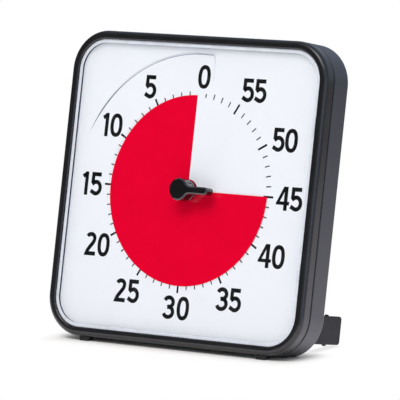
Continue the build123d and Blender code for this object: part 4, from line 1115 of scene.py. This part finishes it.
def add_lamp(name, power, direction, distance, size, colour):
    """Square area lamp that looks at the dial."""
    data = bpy.data.lights.new(name, "AREA")
    data.shape = "RECTANGLE"
    data.size, data.size_y = size
    data.energy = power
    data.color = colour
    lamp = add_object(name, data)
    away = (STAND.to_3x3() @ Vector(direction)).normalized()
    lamp.location = STAND.translation + away * distance
    lamp.rotation_mode = "QUATERNION"
    lamp.rotation_quaternion = (-away).to_track_quat("-Z", "Y")


# What polished faces mirror: the way to it, the nearness to that way over which it appears, and its levels
BRIGHT_SIDE = ((0.70, 0.30, 0.65), (-0.30, 0.45), (0.012, 0.84))
PANEL = ((0.868, -0.474, 0.130), (0.90, 0.99), (0.0, 1.1))
MIRRORED_TINT = (0.66, 0.79, 1.0, 1)


def build_world(look):
    """White surroundings that light evenly. Mirrored, they are dim on the left and bright on the right, with
    one panel of light low on the right."""
    world = bpy.data.worlds.new("studio")
    bpy.context.scene.world = world
    world.use_nodes = True
    tree = world.node_tree
    background = tree.nodes["Background"]
    path = node(tree, "ShaderNodeLightPath").outputs
    heading = node(tree, "ShaderNodeTexCoord").outputs["Generated"]
    mirrored = calc(tree, "ADD", *(
        remap(tree, measure(tree, "DOT_PRODUCT", heading, way), nearness, levels, smooth=True)
        for way, nearness, levels in (BRIGHT_SIDE, PANEL)
    ))
    seen = either(tree, path["Is Camera Ray"], path["Is Transmission Ray"])
    white = both(tree, seen, before_bounce(tree, path, "Diffuse", "Glossy"))
    glossy = both(tree, path["Is Glossy Ray"], before_bounce(tree, path, "Diffuse"))
    level = node(tree, "ShaderNodeMix", {"Factor": glossy, "A": look.room_level, "B": mirrored})
    level = node(tree, "ShaderNodeMix", {"Factor": white, "A": level.outputs[0], "B": 1.0})
    tree.links.new(level.outputs[0], background.inputs["Strength"])
    tree.links.new(blend(tree, glossy, WHITE, MIRRORED_TINT), background.inputs["Color"])


def near_box(tree, place, centre, half, fade):
    """Mask of the floor under a box and close round it; the box is mirrored in X."""
    side = split(tree, vector_calc(tree, "ABSOLUTE", place))["X"]
    point = join(tree, side, split(tree, place)["Y"])
    offset = vector_calc(tree, "ABSOLUTE", vector_calc(tree, "SUBTRACT", point, centre))
    outside = vector_calc(tree, "MAXIMUM", vector_calc(tree, "SUBTRACT", offset, half), (0, 0, 0))
    return remap(tree, measure(tree, "LENGTH", outside), (0.0, fade), (1.0, 0.0), smooth=True)


# Floor that keeps its shadow: centre, half size and fade, in metres, under the case and under each leg
UNDER_CASE = ((0.0, -0.026, 0.0), (0.080, 0.012, 1.0), 0.022)
UNDER_LEG = ((0.0759, 0.010, 0.0), (0.001, 0.018, 1.0), 0.006)
UNDER_LEG_SHARE = 0.32
# Mirrored, the floor is brightest by the timer: reach from it in metres, and levels
FLOOR_REACH = (0.15, 1.2)
FLOOR_LEVELS = (1.95, 0.30)
FLOOR_TINT = (0.97, 0.93, 1.0, 1)


def floor_finish():
    """Pale floor that reads as white and keeps the timer's shadow."""
    material, tree, shader, place = new_material("floor_white")
    surface = add_group(
        tree, "Handled Surface",
        {"Place": place, "Base": (0.93, 0.93, 0.93, 1), "Change": 0.003, "Rough": 0.8, "Rough Change": 0.02},
    )
    tree.links.new(surface.outputs["Colour"], shader.inputs["Base Color"])
    shader.inputs["Roughness"].default_value = 0.8
    shader.inputs["Specular IOR Level"].default_value = 0.1
    path = node(tree, "ShaderNodeLightPath").outputs
    mirrored = remap(tree, measure(tree, "LENGTH", place), FLOOR_REACH, FLOOR_LEVELS)
    strength = node(tree, "ShaderNodeMix", {"Factor": path["Is Glossy Ray"], "A": 1.0, "B": mirrored})
    tint = blend(tree, path["Is Glossy Ray"], WHITE, FLOOR_TINT)
    glow = node(tree, "ShaderNodeEmission", {"Color": tint, "Strength": strength.outputs[0]})
    seen = either(tree, path["Is Camera Ray"], path["Is Transmission Ray"], path["Is Glossy Ray"])
    leg = calc(tree, "MULTIPLY", near_box(tree, place, *UNDER_LEG), UNDER_LEG_SHARE)
    away = calc(tree, "SUBTRACT", 1.0, either(tree, near_box(tree, place, *UNDER_CASE), leg))
    share = both(tree, seen, before_bounce(tree, path, "Diffuse"), away)
    mix = node(tree, "ShaderNodeMixShader", {0: share, 1: shader.outputs[0], 2: glow.outputs[0]})
    tree.links.new(mix.outputs[0], tree.nodes["Material Output"].inputs["Surface"])
    return material


class TIMER_OT_stage(bpy.types.Operator):
    """Set up the camera, the floor and the studio light"""

    bl_idname = "timer.stage"
    bl_label = "Stage"

    def execute(self, context):
        look = context.scene.timer_stage_look
        add_camera()
        build_world(look)
        floor_mesh = bmesh.new()
        bmesh.ops.create_grid(floor_mesh, x_segments=8, y_segments=8, size=6)
        mesh = as_mesh("floor", floor_mesh)
        mesh.materials.append(floor_finish())
        floor = add_object("floor", mesh)
        add_lamp("key_lamp", look.key_power, *KEY_LAMP)
        add_lamp("edge_lamp", look.edge_power, *EDGE_LAMP)
        context.scene.view_settings.view_transform = "Standard"
        return {"FINISHED"}


OPERATORS = (
    TIMER_OT_finishes, TIMER_OT_case, TIMER_OT_lens, TIMER_OT_dial, TIMER_OT_disc, TIMER_OT_knob,
    TIMER_OT_movement, TIMER_OT_screws, TIMER_OT_stage,
)


class TIMER_PT_panel(bpy.types.Panel):
    """Steps that dress the timer"""

    bl_label = "Countdown Timer"
    bl_idname = "TIMER_PT_panel"
    bl_space_type = "VIEW_3D"
    bl_region_type = "UI"
    bl_category = "Timer"

    def draw(self, context):
        for attribute, look in LOOKS.items():
            box = self.layout.box()
            box.label(text=look.__doc__)
            for name in look.__annotations__:
                box.prop(getattr(context.scene, attribute), name)
        for operator in OPERATORS:
            self.layout.operator(operator.bl_idname)


def register():
    for look in LOOKS.values():
        bpy.utils.register_class(look)
    for operator in OPERATORS:
        bpy.utils.register_class(operator)
    bpy.utils.register_class(TIMER_PT_panel)
    for attribute, look in LOOKS.items():
        setattr(bpy.types.Scene, attribute, PointerProperty(type=look))


def unregister():
    for attribute in LOOKS:
        delattr(bpy.types.Scene, attribute)
    bpy.utils.unregister_class(TIMER_PT_panel)
    for operator in reversed(OPERATORS):
        bpy.utils.unregister_class(operator)
    for look in reversed(LOOKS.values()):
        bpy.utils.unregister_class(look)


def main():
    """Register the steps and run them in order."""
    register()
    bpy.ops.timer.finishes()
    bpy.ops.timer.stage()
    bpy.ops.timer.case()
    bpy.ops.timer.lens()
    bpy.ops.timer.dial()
    bpy.ops.timer.disc()
    bpy.ops.timer.knob()
    bpy.ops.timer.movement()
    bpy.ops.timer.screws()


if __name__ == "__main__":
    main()
